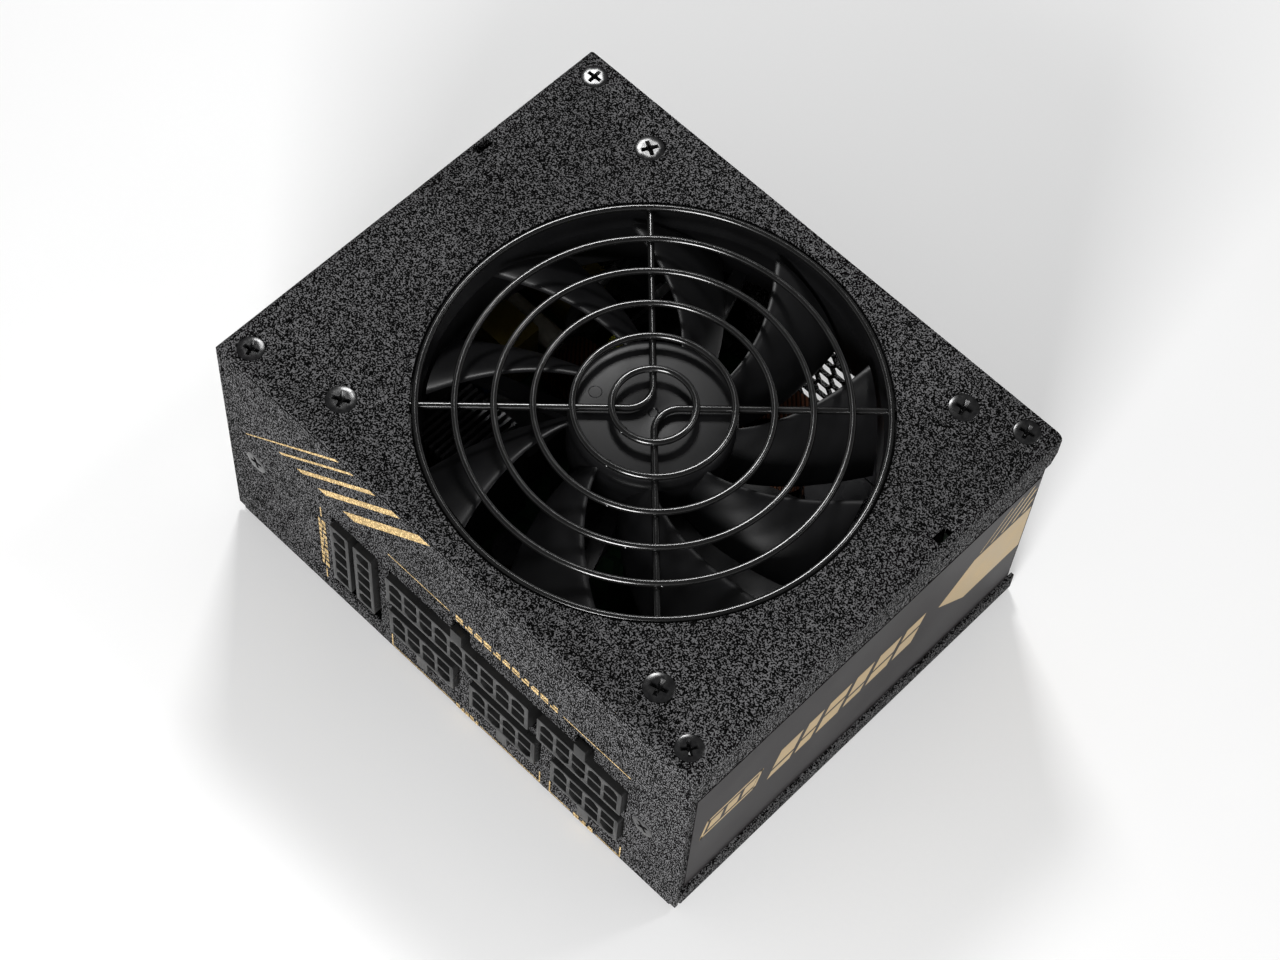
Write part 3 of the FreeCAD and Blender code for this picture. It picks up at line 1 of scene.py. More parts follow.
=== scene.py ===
"""Compact modular power supply: the finished pieces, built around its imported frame.

Everything is in metres, in the frame of the design: +Z up with the fan on top, the
sockets on -Y, the mains inlet on +Y and the printed label on +X.
"""
import json
import math

import bmesh
import bpy
from bpy.props import FloatProperty, FloatVectorProperty, IntProperty, PointerProperty
from mathutils import Matrix, Vector

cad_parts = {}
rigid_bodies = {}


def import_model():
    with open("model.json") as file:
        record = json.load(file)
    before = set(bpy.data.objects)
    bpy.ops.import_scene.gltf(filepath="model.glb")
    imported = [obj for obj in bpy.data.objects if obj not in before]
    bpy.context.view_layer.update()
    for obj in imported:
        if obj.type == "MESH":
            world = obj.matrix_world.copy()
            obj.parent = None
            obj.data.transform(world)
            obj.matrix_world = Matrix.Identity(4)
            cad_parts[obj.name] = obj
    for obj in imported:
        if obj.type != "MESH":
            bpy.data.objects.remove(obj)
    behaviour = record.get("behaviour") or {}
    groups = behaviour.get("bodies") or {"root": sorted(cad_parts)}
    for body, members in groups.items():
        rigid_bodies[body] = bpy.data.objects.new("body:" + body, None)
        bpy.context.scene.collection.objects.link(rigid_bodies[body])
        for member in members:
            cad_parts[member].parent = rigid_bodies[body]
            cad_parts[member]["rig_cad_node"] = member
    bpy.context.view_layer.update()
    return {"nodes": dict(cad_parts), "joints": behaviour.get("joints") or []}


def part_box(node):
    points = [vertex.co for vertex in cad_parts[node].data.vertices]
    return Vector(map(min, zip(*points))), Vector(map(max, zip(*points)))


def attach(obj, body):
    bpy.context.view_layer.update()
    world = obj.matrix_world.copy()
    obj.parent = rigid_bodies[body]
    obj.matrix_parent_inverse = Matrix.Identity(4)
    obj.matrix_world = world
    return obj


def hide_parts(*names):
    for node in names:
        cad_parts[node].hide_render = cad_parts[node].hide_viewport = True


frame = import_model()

bl_info = {
    "name": "Modular power supply",
    "version": (1, 0, 0),
    "blender": (4, 5, 0),
    "location": "3D View > Sidebar > Power supply",
    "description": "Builds the finished pieces of a compact modular power supply",
    "category": "Object",
}

MM = 0.001
SHEET = 0.8 * MM                               # thickness of the enclosure's steel

# ------------------------------------------------------------- places from the frame
cover_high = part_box("top_cover")[1]
guard_low, guard_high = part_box("fan_guard")
impeller_low, impeller_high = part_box("fan_impeller")
label_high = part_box("side_label")[1]
rating_low, rating_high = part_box("rating_label")
fan_centre = (guard_low + guard_high) / 2.0
panel_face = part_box("base_tray")[0].y          # outer face of the connector panel

materials = {}


# ============================================================= small helpers
def put(tree, kind, inputs=(), **settings):
    """Add a node, set its options and fill its sockets with values or links."""
    made = tree.nodes.new(kind)
    for key, value in settings.items():
        setattr(made, key, value)
    for key, value in dict(inputs).items():
        if isinstance(value, bpy.types.NodeSocket):
            tree.links.new(value, made.inputs[key])
        else:
            made.inputs[key].default_value = value
    return made


def maths(tree, operation, a, b=0.0):
    """Output of one Math node."""
    return put(tree, "ShaderNodeMath", {0: a, 1: b}, operation=operation).outputs[0]


def noise(tree, place, scale, detail):
    """Output of one Noise Texture node."""
    return put(tree, "ShaderNodeTexNoise", {"Vector": place, "Scale": scale, "Detail": detail}).outputs["Fac"]


def spread(tree, value, low, high):
    """A value stretched so that low becomes 0 and high becomes 1, and held there."""
    return put(tree, "ShaderNodeMapRange", {"Value": value, "From Min": low, "From Max": high}).outputs[0]


def blend(tree, share, one, two):
    """Mix of two colours."""
    return put(tree, "ShaderNodeMix", {0: share, 6: one, 7: two}, data_type="RGBA").outputs[2]


def new_group(name, kind, inputs, outputs):
    """Node group with named sockets (name, socket type, default); its inside ends."""
    tree = bpy.data.node_groups.new(name, kind)
    for label, socket_type, value in inputs:
        made = tree.interface.new_socket(label, in_out="INPUT", socket_type=socket_type)
        if value is not None:
            made.default_value = value
    for label, socket_type in outputs:
        tree.interface.new_socket(label, in_out="OUTPUT", socket_type=socket_type)
    return tree, tree.nodes.new("NodeGroupInput").outputs, tree.nodes.new("NodeGroupOutput").inputs


def linked(name, data):
    """Object of some data, in the scene's own collection."""
    made = bpy.data.objects.new(name, data)
    bpy.context.scene.collection.objects.link(made)
    return made


def mesh_object(name, vertices, faces):
    """Linked object from plain lists."""
    mesh = bpy.data.meshes.new(name)
    mesh.from_pydata([tuple(v) for v in vertices], [], faces)
    mesh.update()
    return linked(name, mesh)


def bmesh_object(name, work):
    """Linked object from a bmesh, with its normals made to point outwards."""
    bmesh.ops.remove_doubles(work, verts=work.verts, dist=1e-7)
    bmesh.ops.recalc_face_normals(work, faces=work.faces)
    mesh = bpy.data.meshes.new(name)
    work.to_mesh(mesh)
    work.free()
    return linked(name, mesh)


def smooth(made, angle=35.0):
    """Smooth shading that keeps edges sharper than an angle in degrees."""
    made.data.polygons.foreach_set("use_smooth", [True] * len(made.data.polygons))
    made.data.set_sharp_from_angle(angle=math.radians(angle))


def applied(made):
    """Turn an object with modifiers into a plain mesh object of the same name."""
    name = made.name
    bpy.context.view_layer.update()
    graph = bpy.context.evaluated_depsgraph_get()
    mesh = bpy.data.meshes.new_from_object(made.evaluated_get(graph))
    bpy.data.objects.remove(made)
    mesh.name = name
    return linked(name, mesh)


def finish_piece(made, slot, *stands_for, body="housing", finish=None):
    """Give a piece the material of its slot or finish, put it on its body and hide the nodes it stands for."""
    made.data.materials.clear()
    made.data.materials.append(materials[finish or slot])
    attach(made, body)
    if stands_for:
        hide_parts(*stands_for)


def carry_over(*names):
    """Give CAD nodes that keep their own shape the finish of their slot."""
    for name in names:
        for slot in frame["nodes"][name].material_slots:
            slot.material = materials[slot.material.name.split(".")[0]]


def circle_point(radius, angle, height=0.0):
    """Point at an angle on a level circle about the origin."""
    return Vector((radius * math.cos(angle), radius * math.sin(angle), height))


def axes_matrix(along, across, out, spot):
    """Place whose x, y and z run along three axes from a spot."""
    place = Matrix.Identity(4)
    for k, axis in enumerate((along, across, out)):
        place.col[k] = (*axis, 0.0)
    place.col[3] = (*spot, 1.0)
    return place


def skin_between(work, one, two):
    """Close the strip between two loops of equally many points."""
    for k in range(len(one)):
        k2 = (k + 1) % len(one)
        work.faces.new((one[k], one[k2], two[k2], two[k]))


def lathe(work, profile, segments, place=Matrix.Identity(4)):
    """Revolve (radius, height) points about Z; a radius of 0 closes to a pole."""
    loops = []
    for radius, height in profile:
        count = segments if radius else 1
        loops.append([work.verts.new(place @ circle_point(radius, math.tau * k / segments, height))
                      for k in range(count)])
    for one, two in zip(loops, loops[1:]):
        for k in range(segments):
            k2 = (k + 1) % segments
            corners = [one[k % len(one)], one[k2 % len(one)], two[k2 % len(two)], two[k % len(two)]]
            corners = list(dict.fromkeys(corners))
            if len(corners) > 2:
                work.faces.new(corners)


def softened(node, slot, width, segments=2, reshape=None, body="housing", finish=None):
    """Piece from a merged CAD node, reshaped if need be, with its edges rounded."""
    work = bmesh.new()
    work.from_mesh(frame["nodes"][node].data)
    bmesh.ops.remove_doubles(work, verts=work.verts, dist=2e-6)
    if reshape:
        reshape(work)
    bmesh.ops.dissolve_limit(work, angle_limit=math.radians(1.0), verts=work.verts, edges=work.edges)
    made = bmesh_object(node + "_moulded", work)
    bevel = made.modifiers.new("edges", "BEVEL")
    bevel.width = width
    bevel.segments = segments
    bevel.limit_method = "ANGLE"
    bevel.angle_limit = math.radians(35.0)
    bevel.use_clamp_overlap = True
    made = applied(made)
    smooth(made, 40.0)
    finish_piece(made, slot, node, body=body, finish=finish)


# ============================================================= shader groups
def grain_group():
    """Two-tone blotches, fine grain and uneven gloss, from object coordinates."""
    tree, given, results = new_group(
        "surface_grain", "ShaderNodeTree",
        [("Colour", "NodeSocketColor", (0.1, 0.1, 0.1, 1)), ("Second Colour", "NodeSocketColor", (0.2, 0.2, 0.2, 1)),
         ("Blotch Size", "NodeSocketFloat", 0.01), ("Grain Size", "NodeSocketFloat", 0.0005),
         ("Roughness Low", "NodeSocketFloat", 0.4), ("Roughness High", "NodeSocketFloat", 0.6)],
        [("Colour", "NodeSocketColor"), ("Roughness", "NodeSocketFloat"), ("Height", "NodeSocketFloat")],
    )
    place = put(tree, "ShaderNodeTexCoord").outputs["Object"]
    blotch = noise(tree, place, maths(tree, "DIVIDE", 1.0, given["Blotch Size"]), 3.0)
    grain = noise(tree, place, maths(tree, "DIVIDE", 1.0, given["Grain Size"]), 2.0)
    patches = spread(tree, blotch, 0.32, 0.68)
    tone = maths(tree, "MULTIPLY", patches, grain)
    gloss = put(tree, "ShaderNodeMix", {0: patches, 2: given["Roughness Low"], 3: given["Roughness High"]})
    tree.links.new(blend(tree, tone, given["Colour"], given["Second Colour"]), results["Colour"])
    tree.links.new(gloss.outputs[0], results["Roughness"])
    tree.links.new(grain, results["Height"])
    return tree


def wrinkle_group():
    """Worm-like wrinkles of a baked textured coat: crests, valleys and their tone, with painted light on the crests
    and painted shade in the valleys.
    """
    tree, given, results = new_group(
        "coat_wrinkle", "ShaderNodeTree",
        [("Valley", "NodeSocketColor", (0.01, 0.01, 0.01, 1)), ("Crest", "NodeSocketColor", (0.1, 0.1, 0.1, 1)),
         ("Pitch", "NodeSocketFloat", 0.0008), ("Roughness", "NodeSocketFloat", 0.45)],
        [("Colour", "NodeSocketColor"), ("Roughness", "NodeSocketFloat"), ("Height", "NodeSocketFloat")],
    )
    upright_stretch = (1.0, 1.0, 0.5)          # wrinkles are twice as long in height
    worm_scale, clump_scale, drift_scale = 2.45, 0.62, 28.0
    worm_share, clump_share = 0.84, 0.16
    valley_gloss_loss = 0.45
    here = put(tree, "ShaderNodeTexCoord").outputs["Object"]
    place = put(tree, "ShaderNodeVectorMath", {0: here, 1: upright_stretch}, operation="MULTIPLY").outputs["Vector"]
    scale = maths(tree, "DIVIDE", 1.0, given["Pitch"])
    worms = noise(tree, place, maths(tree, "MULTIPLY", scale, worm_scale), 0.5)
    clumps = noise(tree, place, maths(tree, "MULTIPLY", scale, clump_scale), 0.5)
    ridge = maths(tree, "ADD", maths(tree, "MULTIPLY", worms, worm_share),
                  maths(tree, "MULTIPLY", clumps, clump_share))
    height = spread(tree, ridge, 0.465, 0.585)
    drift = maths(tree, "ADD", noise(tree, place, drift_scale, 2.0), 0.5)
    # Colour follows the wrinkle height: valleys near black as painted shade, crests lighter as painted light, varied
    # by a random drift.
    tone = maths(tree, "MULTIPLY", maths(tree, "POWER", height, 1.5), drift)
    dull = maths(tree, "MULTIPLY", maths(tree, "SUBTRACT", 1.0, height), valley_gloss_loss)
    tree.links.new(blend(tree, tone, given["Valley"], given["Crest"]), results["Colour"])
    tree.links.new(maths(tree, "ADD", given["Roughness"], dull), results["Roughness"])
    tree.links.new(height, results["Height"])
    return tree


def turns_group():
    """Even turns or layers along one direction, as on wound wire and laminations."""
    tree, given, results = new_group(
        "wound_turns", "ShaderNodeTree",
        [("Direction", "NodeSocketVector", (0, 0, 1)), ("Pitch", "NodeSocketFloat", 0.0008),
         ("Colour", "NodeSocketColor", (0.5, 0.2, 0.1, 1)),
         ("Groove Colour", "NodeSocketColor", (0.1, 0.04, 0.02, 1))],
        [("Colour", "NodeSocketColor"), ("Height", "NodeSocketFloat")],
    )
    place = put(tree, "ShaderNodeTexCoord").outputs["Object"]
    along = put(tree, "ShaderNodeVectorMath", {0: place, 1: given["Direction"]}, operation="DOT_PRODUCT")
    phase = maths(tree, "DIVIDE", along.outputs["Value"], given["Pitch"])
    height = spread(tree, maths(tree, "SINE", maths(tree, "MULTIPLY", phase, math.tau)), -1.0, 0.3)
    tree.links.new(blend(tree, height, given["Groove Colour"], given["Colour"]), results["Colour"])
    tree.links.new(height, results["Height"])
    return tree


def copper_tracks_group():
    """Tracks and pads under solder mask: a mask made of snapped cells."""
    tree, given, results = new_group(
        "board_tracks", "ShaderNodeTree",
        [("Mask Colour", "NodeSocketColor", (0.01, 0.05, 0.02, 1)),
         ("Track Colour", "NodeSocketColor", (0.03, 0.12, 0.04, 1)),
         ("Pad Colour", "NodeSocketColor", (0.6, 0.6, 0.55, 1)), ("Pitch", "NodeSocketFloat", 0.003)],
        [("Colour", "NodeSocketColor"), ("Pad", "NodeSocketFloat"), ("Height", "NodeSocketFloat")],
    )
    track_edge, pad_reach = 0.09, 0.16
    place = put(tree, "ShaderNodeTexCoord").outputs["Object"]
    scale = maths(tree, "DIVIDE", 1.0, given["Pitch"])
    cells = put(tree, "ShaderNodeTexVoronoi", {
        "Vector": place, "Scale": scale, "Randomness": 0.5}, distance="CHEBYCHEV")
    edges = put(tree, "ShaderNodeTexVoronoi", {
        "Vector": place, "Scale": maths(tree, "MULTIPLY", scale, 0.45), "Randomness": 0.8},
        feature="DISTANCE_TO_EDGE")
    track = maths(tree, "GREATER_THAN", edges.outputs["Distance"], track_edge)
    pad = maths(tree, "LESS_THAN", cells.outputs["Distance"], pad_reach)
    board = blend(tree, track, given["Mask Colour"], given["Track Colour"])
    tree.links.new(blend(tree, pad, board, given["Pad Colour"]), results["Colour"])
    tree.links.new(pad, results["Pad"])
    tree.links.new(maths(tree, "ADD", track, pad), results["Height"])
    return tree


shader_groups = {
    "grain": grain_group(), "wrinkle": wrinkle_group(), "turns": turns_group(), "tracks": copper_tracks_group(),
}


# ============================================================= materials
def rgba(colour, level=1.0):
    """Colour of three numbers at a level, with full alpha."""
    return tuple(c * level for c in colour[:3]) + (1.0,)


def skinned(name, group, values, relief, metallic=0.0, shine=0.5, roughness=None):
    """Material with colour, gloss and relief (in metres) from a shader group and a set specular level."""
    made = bpy.data.materials.new(name)
    made.use_nodes = True
    tree = made.node_tree
    shader = next(n for n in tree.nodes if n.type == "BSDF_PRINCIPLED")
    shader.inputs["Metallic"].default_value = metallic
    shader.inputs["Specular IOR Level"].default_value = shine
    if roughness is not None:
        shader.inputs["Roughness"].default_value = roughness
    skin = put(tree, "ShaderNodeGroup", values, node_tree=shader_groups[group])
    for output, socket in (("Colour", "Base Color"), ("Roughness", "Roughness"), ("Pad", "Metallic")):
        if output in skin.outputs:
            tree.links.new(skin.outputs[output], shader.inputs[socket])
    bump = put(tree, "ShaderNodeBump", {"Height": skin.outputs["Height"], "Distance": relief, "Strength": 1.0})
    tree.links.new(bump.outputs["Normal"], shader.inputs["Normal"])
    return made


def grained(name, colour, second, blotch, grain, gloss, relief, metallic=0.0, shine=0.5):
    """Plain finish: blotches and grain in millimetres, gloss range, relief in millimetres."""
    return skinned(name, "grain", {
        "Colour": rgba(colour), "Second Colour": rgba(second), "Blotch Size": blotch * MM, "Grain Size": grain * MM,
        "Roughness Low": gloss[0], "Roughness High": gloss[1]}, relief * MM, metallic, shine)


def textured_coat(name, valley, crest, pitch, relief, roughness):
    """Baked wrinkle coat, or ink printed over it, with painted shade in the valleys and painted light on the crests.
    """
    return skinned(name, "wrinkle", {
        "Valley": valley, "Crest": crest, "Pitch": pitch, "Roughness": roughness}, relief, shine=0.04)


def wound(name, colour, groove, direction, pitch, relief, metallic=0.0, roughness=0.35):
    """Wound wire, tape layers or laminations along a direction, in millimetres."""
    return skinned(name, "turns", {
        "Direction": direction, "Pitch": pitch * MM, "Colour": rgba(colour), "Groove Colour": rgba(groove)},
        relief * MM, metallic, 0.3, roughness)


def circuit_board(name):
    """Solder mask over tracks, with tinned pads."""
    return skinned(name, "tracks", {
        "Mask Colour": (0.004, 0.02, 0.008, 1), "Track Colour": (0.01, 0.04, 0.014, 1),
        "Pad Colour": (0.25, 0.25, 0.23, 1), "Pitch": 3.0 * MM}, 0.03 * MM, shine=0.3, roughness=0.4)


# colour, second colour, blotch mm, grain mm, gloss range, relief mm, and then metallic and specular level
grained_finishes = {
    "rating_film": ((0.62, 0.62, 0.6), (0.7, 0.7, 0.68), 20.0, 0.3, (0.4, 0.5), 0.003),
    "rating_print": ((0.02, 0.02, 0.02), (0.05, 0.05, 0.05), 5.0, 0.2, (0.4, 0.5), 0.002),
    "black_screw": ((0.006, 0.006, 0.0065), (0.02, 0.02, 0.02), 1.2, 0.15, (0.16, 0.24), 0.004),
    "socket_plastic": ((0.008, 0.008, 0.008), (0.018, 0.018, 0.018), 3.0, 0.18, (0.26, 0.36), 0.004, 0.0, 0.3),
    "rocker_plastic": ((0.008, 0.008, 0.008), (0.02, 0.02, 0.02), 4.0, 0.2, (0.2, 0.32), 0.003, 0.0, 0.3),
    "white_mark": ((0.75, 0.75, 0.72), (0.85, 0.85, 0.82), 2.0, 0.2, (0.4, 0.5), 0.002),
    "plated_steel": ((0.42, 0.43, 0.44), (0.62, 0.62, 0.6), 5.0, 0.3, (0.25, 0.42), 0.005, 1.0),
    "magnet": ((0.02, 0.02, 0.021), (0.05, 0.05, 0.05), 3.0, 0.2, (0.6, 0.75), 0.01),
    "bearing_bronze": ((0.4, 0.24, 0.09), (0.55, 0.36, 0.16), 2.0, 0.15, (0.35, 0.5), 0.01, 1.0),
    "tinned_pins": ((0.55, 0.5, 0.36), (0.72, 0.68, 0.55), 1.5, 0.2, (0.2, 0.36), 0.004, 1.0),
    "copper": ((0.6, 0.3, 0.16), (0.72, 0.46, 0.32), 6.0, 0.3, (0.25, 0.4), 0.006, 1.0),
    "clear_film": ((0.05, 0.05, 0.05), (0.08, 0.08, 0.075), 12.0, 0.5, (0.2, 0.3), 0.004),
    # The heatsinks' dark grey, far darker than bare aluminium, is painted shade for the inside of the case.
    "heatsink_aluminium": ((0.05, 0.05, 0.052), (0.09, 0.09, 0.092), 8.0, 0.3, (0.3, 0.45), 0.008, 0.6, 0.3),
    "package_black": ((0.02, 0.02, 0.02), (0.045, 0.045, 0.045), 3.0, 0.2, (0.45, 0.6), 0.008),
    "can_sleeve": ((0.01, 0.01, 0.012), (0.02, 0.02, 0.024), 9.0, 0.4, (0.2, 0.3), 0.004, 0.0, 0.3),
    "ferrite": ((0.03, 0.03, 0.032), (0.06, 0.06, 0.062), 3.0, 0.25, (0.5, 0.65), 0.015),
    "film_capacitor": ((0.12, 0.09, 0.015), (0.16, 0.12, 0.025), 5.0, 0.3, (0.35, 0.45), 0.006, 0.0, 0.3),
    "disc_blue": ((0.008, 0.025, 0.08), (0.014, 0.04, 0.11), 2.0, 0.3, (0.25, 0.4), 0.02),
    "fuse_sleeve": ((0.55, 0.52, 0.44), (0.68, 0.66, 0.58), 3.0, 0.3, (0.3, 0.4), 0.004),
    "wire_black": ((0.015, 0.015, 0.015), (0.035, 0.035, 0.035), 6.0, 0.3, (0.35, 0.5), 0.008),
    "header_white": ((0.62, 0.6, 0.52), (0.72, 0.7, 0.62), 4.0, 0.3, (0.4, 0.5), 0.005),
}
# colour, groove colour, direction, pitch mm, relief mm, and then metallic and roughness
wound_finishes = {
    "laminations": ((0.25, 0.25, 0.26), (0.05, 0.05, 0.05), (0, 0, 1), 0.5, 0.05, 0.8),
    # The enamelled copper is darkened well below copper's own colour as painted shade for the inside of the case.
    "enamelled_copper": ((0.09, 0.03, 0.012), (0.015, 0.006, 0.003), (0.7, 0.7, 0.2), 0.9, 0.1, 0.6, 0.3),
    "winding_tape": ((0.09, 0.06, 0.012), (0.05, 0.032, 0.006), (0, 0, 1), 2.4, 0.03, 0.0, 0.3),
    "wire_green": ((0.5, 0.5, 0.03), (0.03, 0.22, 0.03), (0.6, 0.6, 0.6), 3.2, 0.0),
}


def make_materials():
    """Every finish, by the record's slot name, and the extra printed ones."""
    coat = bpy.context.scene.psu_enclosure
    fan = bpy.context.scene.psu_fan
    prints = bpy.context.scene.psu_prints
    gold, film, wire, blade = (rgba(c)[:3] for c in (prints.gold, prints.film, fan.wire_colour, fan.blade_colour))
    set_by_user = {
        "label_print": (rgba(gold, 0.5), rgba(gold, 0.7), 6.0, 0.25, (0.32, 0.42), 0.003, 0.0, 0.3),
        "label_film": (film, rgba(film, 1.35), 30.0, 0.3, (0.34, 0.42), 0.004, 0.0, 0.06),
        "guard_wire": (wire, rgba(wire, 2.0), 4.0, 0.5, (0.17, 0.22), 0.003, 0.0, 0.75),
        "fan_plastic": (blade, rgba(blade, 1.6), 9.0, 0.22, (0.3, 0.4), 0.006, 0.0, 0.2),
    }
    for name, looks in (grained_finishes | set_by_user).items():
        materials[name] = grained(name, *looks)
    for name, looks in wound_finishes.items():
        materials[name] = wound(name, *looks)
    materials["board_green"] = circuit_board("board_green")
    materials["powder_coat"] = textured_coat(
        "powder_coat", rgba(coat.valley), rgba(coat.crest), coat.wrinkle_pitch, coat.wrinkle_relief, coat.roughness)
    # The ink's wrinkle valleys are dimmed to 0.45 of its gold as painted shade; its crests get the full gold.
    materials["coat_print"] = textured_coat(
        "coat_print", rgba(gold, 0.45), rgba(gold), coat.wrinkle_pitch, coat.wrinkle_relief * 0.6, 0.4)


# ============================================================= geometry trees
def run_tree(made, tree, values):
    """Run a geometry tree on an object, with values by input name, and keep the plain mesh."""
    modifier = made.modifiers.new("build", "NODES")
    modifier.node_group = tree
    for item in tree.interface.items_tree:
        if item.item_type == "SOCKET" and item.in_out == "INPUT" and item.name in values:
            modifier[item.identifier] = values[item.name]
    return applied(made)


def end_tree(tree, results, geometry, finish):
    """End a geometry tree with real meshes and their material."""
    real = put(tree, "GeometryNodeRealizeInstances", {"Geometry": geometry})
    done = put(tree, "GeometryNodeSetMaterial", {"Geometry": real.outputs[0], "Material": finish})
    tree.links.new(done.outputs[0], results[0])
    return tree


def site_tree():
    """Copies of one finished shape on marked points, turned by their own attributes."""
    tree, given, results = new_group(
        "pieces_on_sites", "GeometryNodeTree",
        [("Sites", "NodeSocketGeometry", None), ("Piece", "NodeSocketObject", None),
         ("Finish", "NodeSocketMaterial", None)],
        [("Geometry", "NodeSocketGeometry")],
    )
    piece = put(tree, "GeometryNodeObjectInfo", {"Object": given["Piece"]})
    facing, turn, size = (
        put(tree, "GeometryNodeInputNamedAttribute", {"Name": name}, data_type=kind).outputs["Attribute"]
        for name, kind in (("facing", "FLOAT_VECTOR"), ("turn", "FLOAT"), ("size", "FLOAT")))
    aim = put(tree, "FunctionNodeAlignRotationToVector", {"Vector": facing}, axis="Z")
    spin = put(tree, "FunctionNodeAxisAngleToRotation", {"Axis": (0, 0, 1), "Angle": turn})
    both = put(tree, "FunctionNodeRotateRotation", {
        "Rotation": aim.outputs[0], "Rotate By": spin.outputs[0]}, rotation_space="LOCAL")
    copies = put(tree, "GeometryNodeInstanceOnPoints", {
        "Points": given["Sites"], "Instance": piece.outputs["Geometry"], "Rotation": both.outputs[0], "Scale": size})
    return end_tree(tree, results, copies.outputs[0], given["Finish"])


def on_sites(name, piece, sites, slot, *stands_for):
    """Piece made of copies on sites: (place, facing, turn in degrees, size)."""
    made = mesh_object(name, [s[0] for s in sites], [])
    marks = made.data.attributes
    marks.new("facing", "FLOAT_VECTOR", "POINT").data.foreach_set("vector", [c for s in sites for c in s[1]])
    marks.new("turn", "FLOAT", "POINT").data.foreach_set("value", [math.radians(s[2]) for s in sites])
    marks.new("size", "FLOAT", "POINT").data.foreach_set("value", [s[3] for s in sites])
    made = run_tree(made, trees["sites"], {"Piece": piece, "Finish": materials[slot]})
    smooth(made)
    finish_piece(made, slot, *stands_for)


def ring_tree():
    """Concentric wire rings, swept from circles whose radii grow by equal steps."""
    tree, given, results = new_group(
        "guard_rings", "GeometryNodeTree",
        [("Cross Wires", "NodeSocketGeometry", None), ("Centre", "NodeSocketVector", (0, 0, 0)),
         ("First Radius", "NodeSocketFloat", 0.008), ("Last Radius", "NodeSocketFloat", 0.045),
         ("Rings", "NodeSocketInt", 6), ("Wire Radius", "NodeSocketFloat", 0.0007),
         ("Finish", "NodeSocketMaterial", None)],
        [("Geometry", "NodeSocketGeometry")],
    )
    spots = put(tree, "GeometryNodePoints", {"Count": given["Rings"], "Position": given["Centre"]})
    number = put(tree, "GeometryNodeInputIndex").outputs[0]
    share = maths(tree, "DIVIDE", number, maths(tree, "SUBTRACT", given["Rings"], 1.0))
    reach = maths(tree, "SUBTRACT", given["Last Radius"], given["First Radius"])
    radius = maths(tree, "ADD", given["First Radius"], maths(tree, "MULTIPLY", reach, share))
    circle = put(tree, "GeometryNodeCurvePrimitiveCircle", {"Resolution": 160, "Radius": 1.0})
    rings = put(tree, "GeometryNodeInstanceOnPoints", {
        "Points": spots.outputs[0], "Instance": circle.outputs[0], "Scale": radius})
    real = put(tree, "GeometryNodeRealizeInstances", {"Geometry": rings.outputs[0]})
    both = put(tree, "GeometryNodeJoinGeometry")
    tree.links.new(real.outputs[0], both.inputs[0])
    tree.links.new(given["Cross Wires"], both.inputs[0])
    section = put(tree, "GeometryNodeCurvePrimitiveCircle", {"Resolution": 14, "Radius": given["Wire Radius"]})
    wire = put(tree, "GeometryNodeCurveToMesh", {
        "Curve": both.outputs[0], "Profile Curve": section.outputs[0], "Fill Caps": True})
    return end_tree(tree, results, wire.outputs[0], given["Finish"])


def wheel_tree():
    """One piece repeated round an upright axis."""
    tree, given, results = new_group(
        "pieces_round_axis", "GeometryNodeTree",
        [("Piece", "NodeSocketGeometry", None), ("Count", "NodeSocketInt", 9),
         ("First Angle", "NodeSocketFloat", 0.0), ("Centre", "NodeSocketVector", (0, 0, 0)),
         ("Finish", "NodeSocketMaterial", None)],
        [("Geometry", "NodeSocketGeometry")],
    )
    spots = put(tree, "GeometryNodePoints", {"Count": given["Count"], "Position": given["Centre"]})
    number = put(tree, "GeometryNodeInputIndex").outputs[0]
    step = maths(tree, "DIVIDE", math.tau, given["Count"])
    angle = maths(tree, "ADD", given["First Angle"], maths(tree, "MULTIPLY", step, number))
    spin = put(tree, "FunctionNodeAxisAngleToRotation", {"Axis": (0, 0, 1), "Angle": angle})
    copies = put(tree, "GeometryNodeInstanceOnPoints", {
        "Points": spots.outputs[0], "Instance": given["Piece"], "Rotation": spin.outputs[0]})
    return end_tree(tree, results, copies.outputs[0], given["Finish"])


trees = {"sites": site_tree(), "rings": ring_tree(), "wheel": wheel_tree()}


# ============================================================= settings
def colour_setting(name, description, default):
    """Colour that a user may change."""
    return FloatVectorProperty(
        name=name, description=description, subtype="COLOR", size=3, min=0, max=1, default=default)


def length_setting(name, description, millimetres):
    """Length that a user may change."""
    return FloatProperty(
        name=name, description=description, subtype="DISTANCE", unit="LENGTH", default=millimetres * MM)


def angle_setting(name, description, degrees):
    """Angle that a user may change."""
    return FloatProperty(
        name=name, description=description, subtype="ANGLE", unit="ROTATION", default=math.radians(degrees))


class PSU_PG_enclosure(bpy.types.PropertyGroup):
    """Steel sheets and their textured coat."""
    # The valley colour is painted shade in the wrinkles' valleys and the crest colour is painted light on their
    # crests.
    valley: colour_setting("Coat valleys", "Colour between the wrinkles of the coat", (0.001, 0.001, 0.001))
    crest: colour_setting("Coat crests", "Colour on top of the wrinkles of the coat", (0.125, 0.124, 0.127))
    wrinkle_pitch: length_setting("Wrinkle pitch", "Distance from one wrinkle to the next", 0.68)
    wrinkle_relief: length_setting("Wrinkle relief", "Height of the wrinkles", 0.12)
    roughness: FloatProperty(
        name="Coat roughness", description="Roughness of the coat", subtype="FACTOR", min=0, max=1, default=0.42)


